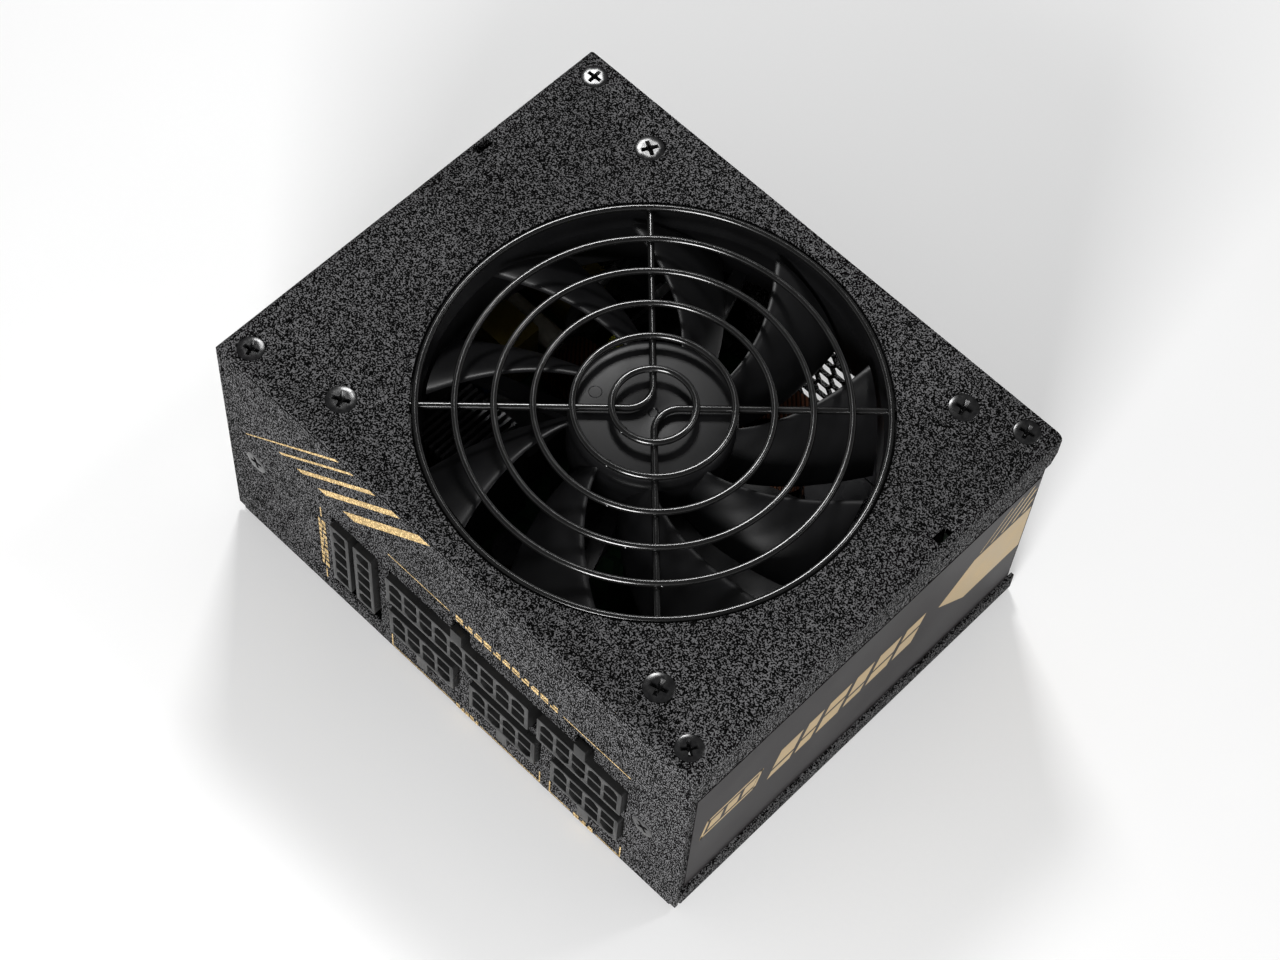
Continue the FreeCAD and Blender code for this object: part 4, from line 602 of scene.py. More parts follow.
class PSU_PG_fan(bpy.types.PropertyGroup):
    """Fan and its guard."""
    wire_colour: colour_setting("Wire colour", "Colour of the guard wire", (0.004, 0.004, 0.004))
    blade_colour: colour_setting("Fan colour", "Colour of the moulded fan", (0.007, 0.007, 0.0075))
    wire_radius: length_setting("Wire radius", "Radius of the guard wire", 0.7)
    ring_count: IntProperty(name="Rings", description="Number of rings in the guard", min=2, default=6)
    first_ring: length_setting("First ring", "Radius of the smallest ring", 8.0)
    blade_count: IntProperty(name="Blades", description="Number of fan blades", min=3, default=9)
    blade_phase: angle_setting("Blade phase", "Angle of the first blade's leading tip", 20.3)


class PSU_PG_prints(bpy.types.PropertyGroup):
    """Printed marks and labels."""
    gold: colour_setting("Gold ink", "Colour of the printed marks", (0.78, 0.56, 0.27))
    film: colour_setting("Label film", "Colour of the side label", (0.018, 0.016, 0.0168))
    ink: length_setting("Ink thickness", "How far the ink stands off its surface", 0.02)
    line: length_setting("Line width", "Width of the thin printed lines", 0.32)


class PSU_PG_stage(bpy.types.PropertyGroup):
    """Floor and camera."""
    floor: colour_setting("Floor colour", "Colour of the floor", (0.93, 0.93, 0.93))
    azimuth: angle_setting("Azimuth", "Direction the camera looks from, round the upright axis", 39.41)
    elevation: angle_setting("Elevation", "Height of the camera above the horizon", 60.95)
    roll: angle_setting("Roll", "Turn of the camera about its own axis", 5.58)
    distance: length_setting("Distance", "Camera to the point it looks at", 556.98)
    focal: FloatProperty(name="Focal length", description="Focal length in millimetres", default=79.51)


# ============================================================= screws
def screw_shape(head_r, shank_r, length):
    """Countersunk cross-head screw with its face at the origin, pointing down -Z."""
    work = bmesh.new()
    segments = 40
    rim = 0.25 * MM
    cone = head_r - shank_r
    round_off = 0.12 * MM
    outer = [work.verts.new(circle_point(head_r - round_off, math.tau * k / segments)) for k in range(segments)]
    arm = head_r * 0.6
    half = head_r * 0.15
    inner_round = head_r * 0.09
    cross = []
    for quarter in range(4):
        turn = Matrix.Rotation(math.pi / 2 * quarter, 4, "Z")
        corner = [(arm, -half), (arm, half), (half + inner_round, half),
                  (half + inner_round * 0.3, half + inner_round * 0.3), (half, half + inner_round)]
        for x, y in corner:
            cross.append(work.verts.new(turn @ Vector((x, y, 0))))
    edges = []
    for loop in (outer, cross):
        for k in range(len(loop)):
            edges.append(work.edges.new((loop[k], loop[(k + 1) % len(loop)])))
    bmesh.ops.triangle_fill(work, edges=edges, use_beauty=True)
    depth = min(1.3 * MM, length * 0.3)
    taper = 0.45
    below = [work.verts.new((v.co.x * taper, v.co.y * taper, -depth)) for v in cross]
    skin_between(work, cross, below)
    tip = work.verts.new((0, 0, -depth * 1.15))
    for k in range(len(below)):
        work.faces.new((below[k], below[(k + 1) % len(below)], tip))
    profile = [(head_r - round_off, 0.0), (head_r - round_off * 0.3, -round_off * 0.3), (head_r, -round_off),
               (head_r, -rim), (shank_r, -rim - cone)]
    pitch = 0.5 * MM
    point = 0.4 * MM
    height = -rim - cone
    while height - pitch > -length + point:
        profile.append((shank_r, height - pitch * 0.35))
        profile.append((shank_r * 0.86, height - pitch * 0.75))
        profile.append((shank_r, height - pitch))
        height -= pitch
    profile += [(shank_r * 0.7, -length), (0.0, -length)]
    lathe(work, profile, segments)
    made = bmesh_object("screw_shape", work)
    smooth(made, 14.0)
    return made


def box_sites(node, head_r, turns):
    """Screw places at the top corners of a node's box, drawn in by the head's radius."""
    low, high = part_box(node)
    spots = [(x, y) for x in (low.x + head_r, high.x - head_r) for y in (low.y + head_r, high.y - head_r)]
    return [(Vector((x, y, high.z)), (0.0, 0.0, 1.0), turn, 1.0) for (x, y), turn in zip(spots, turns)]


class PSU_OT_screws(bpy.types.Operator):
    """Make every cross-head screw and the inlet's nuts"""
    bl_idname = "psu.screws"
    bl_label = "Screws"

    small_head = 2.7 * MM
    small_shank = 1.45 * MM
    fan_head = 3.0 * MM
    fan_shank = 1.75 * MM

    def execute(self, context):
        small = self.small_head
        short = screw_shape(small, self.small_shank, 5.0 * MM)
        long_screw = screw_shape(self.fan_head, self.fan_shank, 12.0 * MM)
        out, down = (0.0, -1.0, 0.0), (0.0, 0.0, -1.0)
        panel_low, panel_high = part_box("panel_screws")
        base_low, base_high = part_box("base_screws")
        middle = (base_low.y + base_high.y) / 2.0
        sets = (
            ("cover_screw", short, box_sites("cover_screws", small, (22, 4, 52, 12))),
            ("fan_screw", long_screw, box_sites("fan_screws", self.fan_head, (28, -28, 17, 14))),
            ("panel_screw", short, [
                (Vector((panel_low.x + small, panel_low.y, panel_high.z - small)), out, 15, 1.0),
                (Vector((panel_high.x - small, panel_low.y, panel_low.z + small)), out, 38, 1.0)]),
            ("base_screw", short, [
                (Vector((base_low.x + small, middle, base_low.z)), down, 10, 1.0),
                (Vector((base_high.x - small, middle, base_low.z)), down, 33, 1.0)]),
        )
        for name, shape, sites in sets:
            on_sites(name + "_set", shape, sites, "black_screw", name + "s")
        self.inlet_fixings()
        bpy.data.objects.remove(short)
        bpy.data.objects.remove(long_screw)
        return {"FINISHED"}

    def inlet_fixings(self):
        """Two longer screws of the inlet with a hexagon nut on each."""
        low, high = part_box("inlet_screws_and_nuts")
        middle = (low.z + high.z) / 2.0
        corner = (high.z - low.z) / math.sqrt(3.0)
        bore = 1.5 * MM
        rim = 0.25 * MM
        front = SHEET + 1.5 * MM
        back = front + 2.4 * MM
        screw = screw_shape(self.small_head, self.small_shank, 7.0 * MM)
        work = bmesh.new()
        lathe(work, [(bore, -front), (corner - rim, -front), (corner, -front - rim), (corner, -back + rim),
                     (corner - rim, -back), (bore, -back), (bore, -front)], 6)
        work.from_mesh(screw.data)
        both = bmesh_object("inlet_fixing_shape", work)
        sites = [(Vector((x, high.y, middle)), (0.0, 1.0, 0.0), turn, 1.0)
                 for x, turn in ((low.x + corner, 20), (high.x - corner, 65))]
        on_sites("inlet_fixing_set", both, sites, "black_screw", "inlet_screws_and_nuts")
        bpy.data.objects.remove(screw)
        bpy.data.objects.remove(both)


# ============================================================= enclosure
class PSU_OT_enclosure(bpy.types.Operator):
    """Coat the steel sheets of the enclosure"""
    bl_idname = "psu.enclosure"
    bl_label = "Enclosure"

    def execute(self, context):
        softened("top_cover", "powder_coat", 0.25 * MM)
        softened("base_tray", "powder_coat", 0.25 * MM, reshape=self.open_seams)
        carry_over("rear_frame")
        return {"FINISHED"}

    def open_seams(self, work):
        """Draw the panel's free edges back from the cover and slope the top one inwards."""
        draw_back = 0.38 * MM
        near = 0.03 * MM
        side_gap = 0.1 * MM
        deep = panel_face + 2.5 * SHEET        # only the panel's own edges lie before this
        top = cover_high.z - SHEET
        side = cover_high.x - SHEET - side_gap
        for vertex in work.verts:
            place = vertex.co
            if place.y > deep:
                continue
            if abs(place.z - top) < near:
                place.z -= draw_back if place.y < panel_face + SHEET / 2.0 else draw_back + 2.0 * SHEET
            if abs(abs(place.x) - side) < near:
                place.x -= math.copysign(draw_back, place.x)


# ============================================================= guard and fan
def cross_wire_paths(settings):
    """Centrelines of the two bent cross wires, each with an eyelet at both ends."""
    low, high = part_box("fan_screws")
    head_r = PSU_OT_screws.fan_head
    eyelet_r = 3.2 * MM
    elbow_r = 5.0 * MM
    elbow_offset = 2.07 * MM
    elbow_steps, eyelet_steps, run_steps = 12, 24, 10
    eyelet_turn = 0.985                        # just short of a full turn
    height = guard_low.z + settings.wire_radius
    paths = []
    for side in (-1, 1):
        centre = Vector((fan_centre.x + side * (elbow_offset + elbow_r), fan_centre.y, height))
        bend = []
        for k in range(elbow_steps + 1):
            a = math.radians(-45.0 + 90.0 * k / elbow_steps)
            bend.append(centre + Vector((-side * elbow_r * math.cos(a), elbow_r * math.sin(a), 0)))
        eye_x = high.x - head_r if side > 0 else low.x + head_r
        path = []
        for eye_y, start in ((low.y + head_r, bend[0]), (high.y - head_r, bend[-1])):
            eye = Vector((eye_x, eye_y, height))
            way = (eye - start).normalized()
            reach = (eye - start).length - eyelet_r
            base = math.atan2(-way.y, -way.x)
            run = [start + way * reach * k / run_steps for k in range(1, run_steps)]
            path.append(run + [eye + circle_point(eyelet_r, base + math.tau * k / eyelet_steps * eyelet_turn)
                               for k in range(eyelet_steps + 1)])
        paths.append(list(reversed(path[0])) + bend + path[1])
    return paths


def curve_object(name, paths):
    """Linked curve object with one open poly spline for each path."""
    curve = bpy.data.curves.new(name, "CURVE")
    curve.dimensions = "3D"
    for path in paths:
        spline = curve.splines.new("POLY")
        spline.points.add(len(path) - 1)
        for point, place in zip(spline.points, path):
            point.co = (*place, 1.0)
    return linked(name, curve)


class PSU_OT_guard(bpy.types.Operator):
    """Make the welded wire guard"""
    bl_idname = "psu.guard"
    bl_label = "Fan guard"

    def execute(self, context):
        settings = context.scene.psu_fan
        wire_r = settings.wire_radius
        last = (guard_high.x - guard_low.x) / 2.0 - wire_r
        ring_z = guard_high.z - wire_r
        made = curve_object("wire_guard", cross_wire_paths(settings))
        made = run_tree(made, trees["rings"], {
            "Centre": (fan_centre.x, fan_centre.y, ring_z), "First Radius": settings.first_ring,
            "Last Radius": last, "Rings": settings.ring_count, "Wire Radius": wire_r,
            "Finish": materials["guard_wire"]})
        smooth(made, 60.0)
        finish_piece(made, "guard_wire", "fan_guard")
        self.weld_beads(settings, last, ring_z)
        return {"FINISHED"}

    def weld_beads(self, settings, last, ring_z):
        """Small beads where the rings are welded to the cross wires and butted."""
        wire_r = settings.wire_radius
        wire_lean = 0.11                       # radians off the diagonal of a cross wire at the first ring
        butt_start, butt_step = -1.6, 0.21     # angle of the first ring's butt, and from one ring to the next
        weld_size, butt_size = 0.62, 0.86
        bead = bmesh.new()
        bmesh.ops.create_icosphere(bead, subdivisions=2, radius=1.0, matrix=Matrix.Diagonal((1.5, 1.05, 0.8, 1.0)))
        shape = bmesh_object("bead_shape", bead)
        up = (0.0, 0.0, 1.0)
        hub = Vector((fan_centre.x, fan_centre.y, 0.0))
        low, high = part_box("fan_screws")
        diagonal = math.atan2((high.y - low.y) / 2.0, (high.x - low.x) / 2.0)
        weld_z = (ring_z + guard_low.z + wire_r) / 2.0
        sites = []
        for k in range(settings.ring_count):
            radius = settings.first_ring + (last - settings.first_ring) * k / (settings.ring_count - 1)
            for quarter in range(4):
                lean = (wire_lean if quarter % 2 else -wire_lean) * (settings.first_ring / radius)
                angle = diagonal + quarter * math.pi / 2.0 + lean
                sites.append((hub + circle_point(radius, angle, weld_z), up, math.degrees(angle) + 90.0,
                              wire_r * weld_size))
            angle = butt_start + butt_step * k
            sites.append((hub + circle_point(radius, angle, ring_z), up, math.degrees(angle), wire_r * butt_size))
        on_sites("guard_weld_beads", shape, sites, "guard_wire")
        bpy.data.objects.remove(shape)


def blade_shape(hub_r, tip_r, top, fall):
    """One swept fan blade as a closed skin with a rounded nose and a thin tail."""
    sections = 14
    around = 13
    thick = 1.3 * MM
    root = hub_r - 0.5 * MM
    work = bmesh.new()
    loops = []
    for i in range(sections + 1):
        r = root + (tip_r - root) * i / sections
        share = (r - hub_r) / (tip_r - hub_r)
        lead = math.radians(-20.0 * (1.0 - share) * (1.3 - 0.3 * share))
        chord = math.radians(22.0 + 3.5 * share)
        arc = r * chord
        length = math.hypot(arc, fall)
        belly = 0.07 * length
        normal_side, normal_up = fall / length, arc / length
        thin = 1.0 - 0.25 * share
        upper = []
        lower = []
        for j in range(around + 1):
            s = 0.5 - 0.5 * math.cos(math.pi * j / around)
            camber = 4.0 * belly * s * (1.0 - s)
            nose = math.sqrt(max(0.0, 1.0 - (1.0 - min(1.0, s / 0.12)) ** 2))
            tail = math.sqrt(max(0.0, min(1.0, (1.0 - s) / 0.03)))
            half = thick / 2.0 * thin * nose * (1.0 - 0.55 * s) * tail
            for side, keep in ((1, upper), (-1, lower)):
                lift = camber + side * half
                angle = lead - chord * s - normal_side * lift / r
                keep.append(circle_point(r, angle, top - fall * s + normal_up * lift))
        loops.append([work.verts.new(p) for p in upper + list(reversed(lower[1:-1]))])
    for one, two in zip(loops, loops[1:]):
        skin_between(work, one, two)
    work.faces.new(loops[0])
    work.faces.new(list(reversed(loops[-1])))
    return bmesh_object("blade_shape", work)


class PSU_OT_impeller(bpy.types.Operator):
    """Make the hub and its swept blades"""
    bl_idname = "psu.impeller"
    bl_label = "Impeller"

    def execute(self, context):
        settings = context.scene.psu_fan
        hub_r = 16.25 * MM
        tip_r = 42.9 * MM
        blade_gap = 0.6 * MM
        blade = blade_shape(hub_r, tip_r, impeller_high.z - blade_gap, 9.4 * MM)
        blades = run_tree(blade, trees["wheel"], {
            "Count": settings.blade_count, "First Angle": settings.blade_phase,
            "Centre": (fan_centre.x, fan_centre.y, 0.0), "Finish": materials["fan_plastic"]})
        work = bmesh.new()
        work.from_mesh(blades.data)
        bpy.data.objects.remove(blades)
        self.hub(work, hub_r, impeller_high.z, impeller_low.z)
        made = bmesh_object("impeller", work)
        smooth(made, 32.0)
        finish_piece(made, "fan_plastic", "fan_impeller", body="fan_rotor")
        return {"FINISHED"}

    def hub(self, work, hub_r, top, bottom):
        """Round-shouldered cup with a boss inside, a dimple at its middle and a raised ring mark."""
        shoulder = 1.4 * MM
        wall = 1.1 * MM
        ceiling = top - 1.2 * MM
        boss_r, boss_end = 3.0 * MM, ceiling - 1.5 * MM
        dimple_r = 1.0 * MM
        edge = 0.2 * MM
        profile = [(0.0, top - 0.3 * MM), (dimple_r * 0.8, top - 0.28 * MM), (dimple_r, top - 0.05 * MM),
                   (dimple_r * 1.25, top), (hub_r * 0.5, top)]
        for k in range(7):
            a = math.radians(15.0 * k)
            profile.append((hub_r - shoulder + shoulder * math.sin(a), top - shoulder + shoulder * math.cos(a)))
        profile += [(hub_r, bottom + edge), (hub_r - edge, bottom), (hub_r - wall, bottom), (hub_r - wall, ceiling),
                    (boss_r, ceiling), (boss_r, boss_end), (0.0, boss_end)]
        lathe(work, profile, 96, Matrix.Translation((fan_centre.x, fan_centre.y, 0.0)))
        mark_r, mark_w = 1.25 * MM, 0.09 * MM
        foot, crown = -0.02 * MM, 0.07 * MM
        lathe(work, [(mark_r - mark_w, foot), (mark_r, crown), (mark_r + mark_w, foot), (mark_r - mark_w, foot)], 32,
              Matrix.Translation((fan_centre.x - 10.7 * MM, fan_centre.y - 4.7 * MM, top)))


class PSU_OT_fan_body(bpy.types.Operator):
    """Finish the fan frame and the motor inside the hub"""
    bl_idname = "psu.fan_body"
    bl_label = "Fan frame and motor"

    def execute(self, context):
        carry_over("fan_frame", "rotor_yoke", "rotor_magnet", "fan_shaft", "bearing_sleeve", "stator_core",
                   "stator_coils", "fan_circuit_board")
        return {"FINISHED"}


# ============================================================= sockets
class PSU_OT_sockets(bpy.types.Operator):
    """Make the moulded modular sockets with their pins and board"""
    bl_idname = "psu.sockets"
    bl_label = "Modular sockets"

    def execute(self, context):
        for name in ("18_pin", "10_pin", "8_pin_1", "8_pin_2", "8_pin_3", "5_pin_1", "5_pin_2"):
            softened("socket_" + name, "socket_plastic", 0.14 * MM)
        carry_over("socket_pins", "modular_board", "bus_bars")
        return {"FINISHED"}


# ============================================================= printed marks
# Planes of the printed faces: x and y run along the face, z stands off it.
panel_plane = Matrix(((1, 0, 0, 0), (0, 0, -1, panel_face), (0, 1, 0, 0), (0, 0, 0, 1)))
label_plane = Matrix(((0, 0, 1, label_high.x), (1, 0, 0, 0), (0, 1, 0, 0), (0, 0, 0, 1)))
rating_plane = Matrix(((0, 0, -1, rating_low.x), (-1, 0, 0, 0), (0, 1, 0, 0), (0, 0, 0, 1)))


def flat_plate(work, outline, thickness, place):
    """Thin plate from a flat outline in millimetres, pushed out along the place's own Z."""
    low = [work.verts.new(place @ Vector((x * MM, y * MM, 0.0))) for x, y in outline]
    high = [work.verts.new(place @ Vector((x * MM, y * MM, thickness))) for x, y in outline]
    work.faces.new(list(reversed(low)))
    work.faces.new(high)
    skin_between(work, low, high)


def printed(name, outlines, plane, slot, finish):
    """Piece of thin plates of ink on a plane."""
    work = bmesh.new()
    for outline in outlines:
        flat_plate(work, outline, bpy.context.scene.psu_prints.ink, plane)
    finish_piece(bmesh_object(name, work), slot, finish=finish)


def bar(x0, y0, x1, y1):
    """Outline of an upright rectangle."""
    return [(x0, y0), (x1, y0), (x1, y1), (x0, y1)]


def leaning(x, y0, y1, width, lean):
    """Outline of a leaning stripe: foot at x, its top shifted by lean."""
    return [(x, y0), (x + width, y0), (x + width + lean, y1), (x + lean, y1)]


def word(along, start, end, count, foot, height):
    """Row of small blocks that stands for a word, written along X (0) or upwards (1)."""
    pitch = (end - start) / count
    cut = height * 0.1
    outlines = []
    for k in range(count):
        left = start + pitch * (k + 0.1)
        right = start + pitch * (k + 0.88)
        middle = foot + height * (0.38 + 0.12 * (k % 3))
        narrow = pitch * 0.16 * ((k * 2) % 3)
        lower = (left, right, foot, middle - cut)
        upper = (left + narrow, right, middle + cut, foot + height)
        for x0, x1, y0, y1 in (lower, upper):
            outlines.append(bar(x0, y0, x1, y1) if along == 0 else bar(y0, x0, y1, x1))
    return outlines


class PSU_OT_panel_print(bpy.types.Operator):
    """Print the gold stripes, brackets and rows of blocks on the connector panel"""
    bl_idname = "psu.panel_print"
    bl_label = "Panel print"

    def execute(self, context):
        words = word(0, 2.0, 29.6, 11, 40.7, 2.1) + word(0, 1.7, 8.3, 5, 0.9, 1.7) + word(0, 34.6, 40.4, 3, 0.9, 1.7)
        words += word(1, 10.2, 29.8, 10, -36.6, 2.0)
        outlines = self.stripes() + self.lines(context.scene.psu_prints.line) + words
        printed("panel_print", outlines, panel_plane, "powder_coat", "coat_print")
        return {"FINISHED"}

    def stripes(self):
        """Five stripes that lean to the right and thin out to the left, in millimetres."""
        foot_z, top_z, lean = 42.3, 61.4, 21.3
        outlines = [leaning(x, foot_z, top_z, width, lean)
                    for x, width in ((-28.75, 3.3), (-35.7, 2.3), (-41.7, 1.65), (-46.8, 0.95))]
        return outlines + [[(-56.8, 37.0), (-56.4, 37.0), (-28.5, top_z), (-29.5, top_z)]]

    def lines(self, width):
        """Thin rules beside the rows of blocks and brackets under the lower sockets."""
        w = width / MM / 2.0
        foot, top, gap = 1.7, 6.7, 3.6
        outlines = [bar(-16.25, 41.8 - w, 0.6, 41.8 + w), bar(30.8, 41.5 - w, 48.2, 41.5 + w),
                    bar(-35.6 - w, 31.0, -35.6 + w, 34.75), bar(-35.6 - w, 5.2, -35.6 + w, 8.9)]
        for left, right, middle in ((-16.5, 25.4, 5.0), (28.2, 47.5, 37.5)):
            outlines += [bar(left - w, foot - w, left + w, top), bar(right - w, foot - w, right + w, top),
                         bar(left + w, foot - w, middle - gap, foot + w),
                         bar(middle + gap, foot - w, right - w, foot + w)]
        return outlines


class PSU_OT_labels(bpy.types.Operator):
    """Make both side labels with their printed shapes"""
    bl_idname = "psu.labels"
    bl_label = "Side labels"

    def execute(self, context):
        carry_over("side_label")
        frame["nodes"]["rating_label"].material_slots[0].material = materials["rating_film"]
        printed("side_label_print", self.block() + self.lettering_blocks() + self.arrow(), label_plane,
                "label_film", "label_print")
        printed("rating_label_print", self.rating_table(context.scene.psu_prints.line), rating_plane,
                "label_film", "rating_print")
        return {"FINISHED"}

    def block(self):
        """Frame with three short blocks in it."""
        y0, y1, z0, z1, w = -44.8, -28.1, 26.8, 33.2, 0.7
        lean = 1.6
        outlines = [leaning(y0, z0, z0 + w, y1 - y0 - lean, 0.2), leaning(y0 + lean, z1 - w, z1, y1 - y0 - lean, 0.2),
                    leaning(y0, z0, z1, w, lean), leaning(y1 - w - lean, z0, z1, w, lean)]
        return outlines + [leaning(y0 + 2.0 + 4.6 * k, z0 + 1.6, z1 - 1.6, 3.4, 0.8) for k in range(3)]

    def lettering_blocks(self):
        """Row of leaning blocks of mixed widths, each with a cut across it."""
        outlines = []
        start, z0, z1, lean = -26.0, 24.5, 33.5, 2.8
        cut = 1.0
        for k, width in enumerate((6.2, 4.4, 6.2, 5.0, 6.2, 5.6)):
            low_share = 0.32 + 0.12 * (k % 3)
            split = z0 + (z1 - z0) * low_share
            shift = lean * low_share
            outlines.append(leaning(start, z0, split - cut / 2.0, width, shift))
            outlines.append(leaning(start + shift + 0.2, split + cut / 2.0, z1, width - 0.2, lean - shift))
            start += width + 1.5
        return outlines

    def arrow(self):
        """Broad arrow head against the rear edge and five thin stripes above it."""
        end = label_high.y / MM
        outlines = [[(22.3, 29.5), (31.3, 21.5), (end, 21.5), (end, 37.5), (31.3, 37.5)]]
        foot_z, full_lean = 38.6, 7.6
        for k in range(5):
            foot = 32.5 + 3.1 * k
            width = 0.35 + 0.17 * k
            top_z = 47.8 - 0.2 * (4 - k)
            lean = min(full_lean, end - foot - width)
            outlines.append(leaning(foot, foot_z, foot_z + (top_z - foot_z) * lean / full_lean, width, lean))
        return outlines

    def rating_table(self, line):
        """Ruled table with short bars in place of words, and a bar and four squares above it."""
        margin, heading = 4.0, 12.0
        half = rating_high.y / MM - margin
        low, high = rating_low.z / MM + margin, rating_high.z / MM - margin
        table = high - low - heading
        w = line / MM / 2.0
        rows, columns = 7, 6
        outlines = []
        for k in range(rows + 1):
            z = low + table * k / rows
            outlines.append(bar(-half, z - w, half, z + w))
        for k in range(columns + 1):
            y = -half + 2.0 * half * k / columns
            outlines.append(bar(y - w, low + w, y + w, high - heading - w))
        for row in range(rows):
            for column in range(columns):
                y = -half + 2.0 * half * (column + 0.2) / columns
                z = low + table * (row + 0.35) / rows
                reach = 4.0 + 4.0 * ((row * 5 + column * 3) % 4) / 3.0
                outlines.append(bar(y, z, y + reach, z + 1.3))
        outlines.append(bar(-half, high - 7.0, -half + 36.0, high - 3.5))
        for k in range(4):
            left = half - 8.0 * (k + 1)
            outlines.append(bar(left, high - 8.5, left + 6.0, high - 2.5))
        return outlines


# ============================================================= mains side and boards
class PSU_OT_mains(bpy.types.Operator):
    """Make the mains inlet and the power switch"""
    bl_idname = "psu.mains"
    bl_label = "Mains inlet and switch"

    def execute(self, context):
        softened("inlet_housing", "socket_plastic", 0.35 * MM, 3)
        softened("switch_housing", "socket_plastic", 0.3 * MM, 3)
        softened("switch_rocker", "socket_plastic", 0.3 * MM, 3, body="switch_rocker", finish="rocker_plastic")
        self.rocker_marks()
        carry_over("inlet_blades", "switch_terminals", "mains_leads", "earth_lead")
        return {"FINISHED"}

    def rocker_marks(self):
        """Bar and ring, the usual on and off signs, one on each half of the rocker."""
        work = bmesh.new()
        pivot = next(Vector(j["pos_m"]) for j in frame["joints"] if j["child"] == "switch_rocker")
        middle, edge_over = 2.6 * MM, 4.0 * MM  # the face over the pivot: at its middle, at its edges
        edge_reach = 8.2 * MM
        edge_out = math.sqrt(edge_reach ** 2 - edge_over ** 2)
        rest_tilt, outwards, lift = -10.0, 0.55, 0.01 * MM
        ink = 0.03 * MM
        ring_r, ring_w = 1.2 * MM, 0.55 * MM
        tilt = Matrix.Rotation(math.radians(rest_tilt), 4, "Z")
        across = Vector((0.0, 0.0, 1.0))
        for side in (-1, 1):
            run = Vector((side * edge_out, edge_over - middle, 0.0))
            along = run.normalized() * side
            out = across.cross(along) if across.cross(along).y > 0 else along.cross(across)
            spot = Vector((0.0, middle, 0.0)) + run * outwards + out * lift
            place = Matrix.Translation(pivot) @ tilt @ axes_matrix(along, across, out, spot)
            if side < 0:
                flat_plate(work, bar(-0.3, -1.7, 0.3, 1.7), ink, place)
            else:
                lathe(work, [(ring_r, 0.0), (ring_r + ring_w, 0.0), (ring_r + ring_w, ink), (ring_r, ink),
                             (ring_r, 0.0)], 32, place)
        finish_piece(bmesh_object("rocker_marks", work), "socket_plastic", body="switch_rocker", finish="white_mark")


class PSU_OT_boards(bpy.types.Operator):
    """Finish the boards and every component on them"""
    bl_idname = "psu.boards"
    bl_label = "Boards and components"

    def execute(self, context):
        done = {o.get("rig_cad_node") for o in bpy.data.objects if o.get("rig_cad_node") and o.hide_render}
        for name, node in frame["nodes"].items():
            finished = all(s.material and s.material in materials.values() for s in node.material_slots)
            if name not in done and not finished:
                carry_over(name)
        return {"FINISHED"}


# ============================================================= stage
def toward(azimuth, elevation):
    """Unit vector from the object towards a viewer or a lamp; azimuth 0 is in front of the sockets."""
    return Vector((math.sin(azimuth) * math.cos(elevation), -math.cos(azimuth) * math.cos(elevation),
                   math.sin(elevation)))


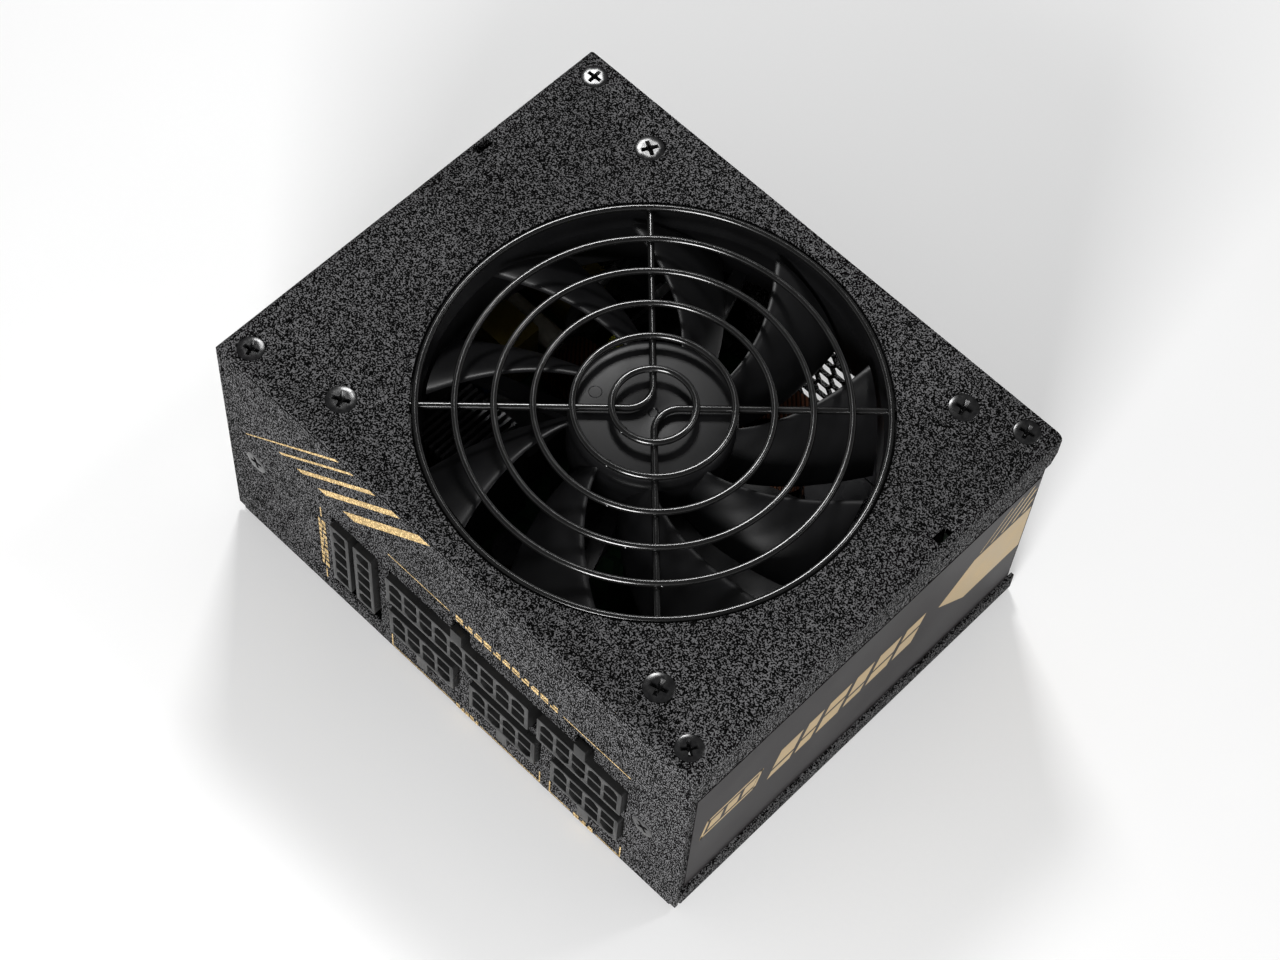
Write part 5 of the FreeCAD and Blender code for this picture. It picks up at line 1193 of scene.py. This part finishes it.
class PSU_OT_stage(bpy.types.Operator):
    """Set the floor, the soft lights and the camera"""
    bl_idname = "psu.stage"
    bl_label = "Stage"

    aim = Vector((2.4, 0.0, 31.75)) * MM
    # name, azimuth and elevation in degrees, distance and size in metres, power in watts
    softboxes = (
        ("key", 229.0, 50.0, 0.65, 0.12, 1.7),
        ("front", 26.0, 21.0, 0.7, 0.25, 5.4),
        ("back", 150.0, 55.0, 0.9, 0.1, 0.6),
    )

    def execute(self, context):
        settings = context.scene.psu_stage
        self.floor(settings)
        self.world()
        for softbox in self.softboxes:
            self.light(*softbox)
        self.camera(settings)
        context.scene.view_settings.view_transform = "Standard"
        return {"FINISHED"}

    def floor(self, settings):
        """Wide pale floor under the object."""
        made = mesh_object("floor", [(-4, -4, 0), (4, -4, 0), (4, 4, 0), (-4, 4, 0)], [(0, 1, 2, 3)])
        pale = [min(1.0, c * 1.02) for c in settings.floor]
        made.data.materials.append(grained("floor_paper", settings.floor, pale, 60.0, 1.0, (0.85, 0.95), 0.0))

    def world(self):
        """White walls under a dim ceiling, in sight and in reflections, and plain light on surfaces."""
        plain_light, ceiling_light = 0.34, 0.1
        wall_top, ceiling_start = 0.02, 0.3    # heights of the direction at which the walls give way
        made = bpy.data.worlds.new("studio")
        bpy.context.scene.world = made
        made.use_nodes = True
        tree = made.node_tree
        background = next(n for n in tree.nodes if n.type == "BACKGROUND")
        rays = put(tree, "ShaderNodeLightPath").outputs
        seen = maths(tree, "MAXIMUM", rays["Is Camera Ray"], rays["Is Glossy Ray"])
        seen = maths(tree, "MAXIMUM", seen, rays["Is Transmission Ray"])
        direction = put(tree, "ShaderNodeTexCoord").outputs["Generated"]
        height = put(tree, "ShaderNodeSeparateXYZ", {0: direction}).outputs["Z"]
        walls = put(tree, "ShaderNodeMapRange", {
            "Value": height, "From Min": wall_top, "From Max": ceiling_start, "To Min": 1.0,
            "To Max": ceiling_light}, interpolation_type="SMOOTHSTEP").outputs[0]
        level = put(tree, "ShaderNodeMix", {0: seen, 2: plain_light, 3: walls})
        background.inputs["Color"].default_value = (1, 1, 1, 1)
        tree.links.new(level.outputs[0], background.inputs["Strength"])

    def light(self, name, azimuth, elevation, distance, size, power):
        """Square softbox that faces the aim."""
        lamp = bpy.data.lights.new(name, "AREA")
        lamp.size = size
        lamp.energy = power
        back = toward(math.radians(azimuth), math.radians(elevation))
        made = linked(name, lamp)
        made.location = self.aim + back * distance
        made.rotation_euler = back.to_track_quat("Z", "Y").to_euler()

    def camera(self, settings):
        """Camera at the viewing angle, with no shift and no depth of field."""
        lens = bpy.data.cameras.new("camera")
        lens.lens = settings.focal
        lens.sensor_width = 36.0
        lens.clip_start = 0.01
        back = toward(settings.azimuth, settings.elevation)
        right = Vector((math.cos(settings.azimuth), math.sin(settings.azimuth), 0.0))
        right = right * math.cos(settings.roll) + back.cross(right) * math.sin(settings.roll)
        made = linked("camera", lens)
        made.matrix_world = axes_matrix(right, back.cross(right), back, self.aim + back * settings.distance)
        bpy.context.scene.camera = made


# ============================================================= add-on
class PSU_PT_sidebar(bpy.types.Panel):
    """Sizes, colours and the steps that build the power supply"""
    bl_idname = "PSU_PT_sidebar"
    bl_label = "Power supply"
    bl_space_type = "VIEW_3D"
    bl_region_type = "UI"
    bl_category = "Power supply"

    def draw(self, context):
        for group in setting_groups:
            settings = getattr(context.scene, group)
            for name in settings.bl_rna.properties.keys():
                if name not in ("rna_type", "name"):
                    self.layout.prop(settings, name)
        for operator in operators:
            self.layout.operator(operator.bl_idname)


setting_groups = {
    "psu_enclosure": PSU_PG_enclosure, "psu_fan": PSU_PG_fan, "psu_prints": PSU_PG_prints, "psu_stage": PSU_PG_stage,
}
operators = (
    PSU_OT_stage, PSU_OT_enclosure, PSU_OT_screws, PSU_OT_guard, PSU_OT_impeller, PSU_OT_fan_body,
    PSU_OT_sockets, PSU_OT_panel_print, PSU_OT_labels, PSU_OT_mains, PSU_OT_boards,
)


def register():
    """Register the settings, the steps and the sidebar panel."""
    for name, group in setting_groups.items():
        bpy.utils.register_class(group)
        setattr(bpy.types.Scene, name, PointerProperty(type=group))
    for operator in operators:
        bpy.utils.register_class(operator)
    bpy.utils.register_class(PSU_PT_sidebar)


def unregister():
    """Take everything off again, in reverse."""
    bpy.utils.unregister_class(PSU_PT_sidebar)
    for operator in reversed(operators):
        bpy.utils.unregister_class(operator)
    for name, group in reversed(setting_groups.items()):
        delattr(bpy.types.Scene, name)
        bpy.utils.unregister_class(group)


def main():
    """Build every piece in order."""
    register()
    make_materials()
    for operator in operators:
        group, name = operator.bl_idname.split(".")
        getattr(getattr(bpy.ops, group), name)()


if __name__ == "__main__":
    main()
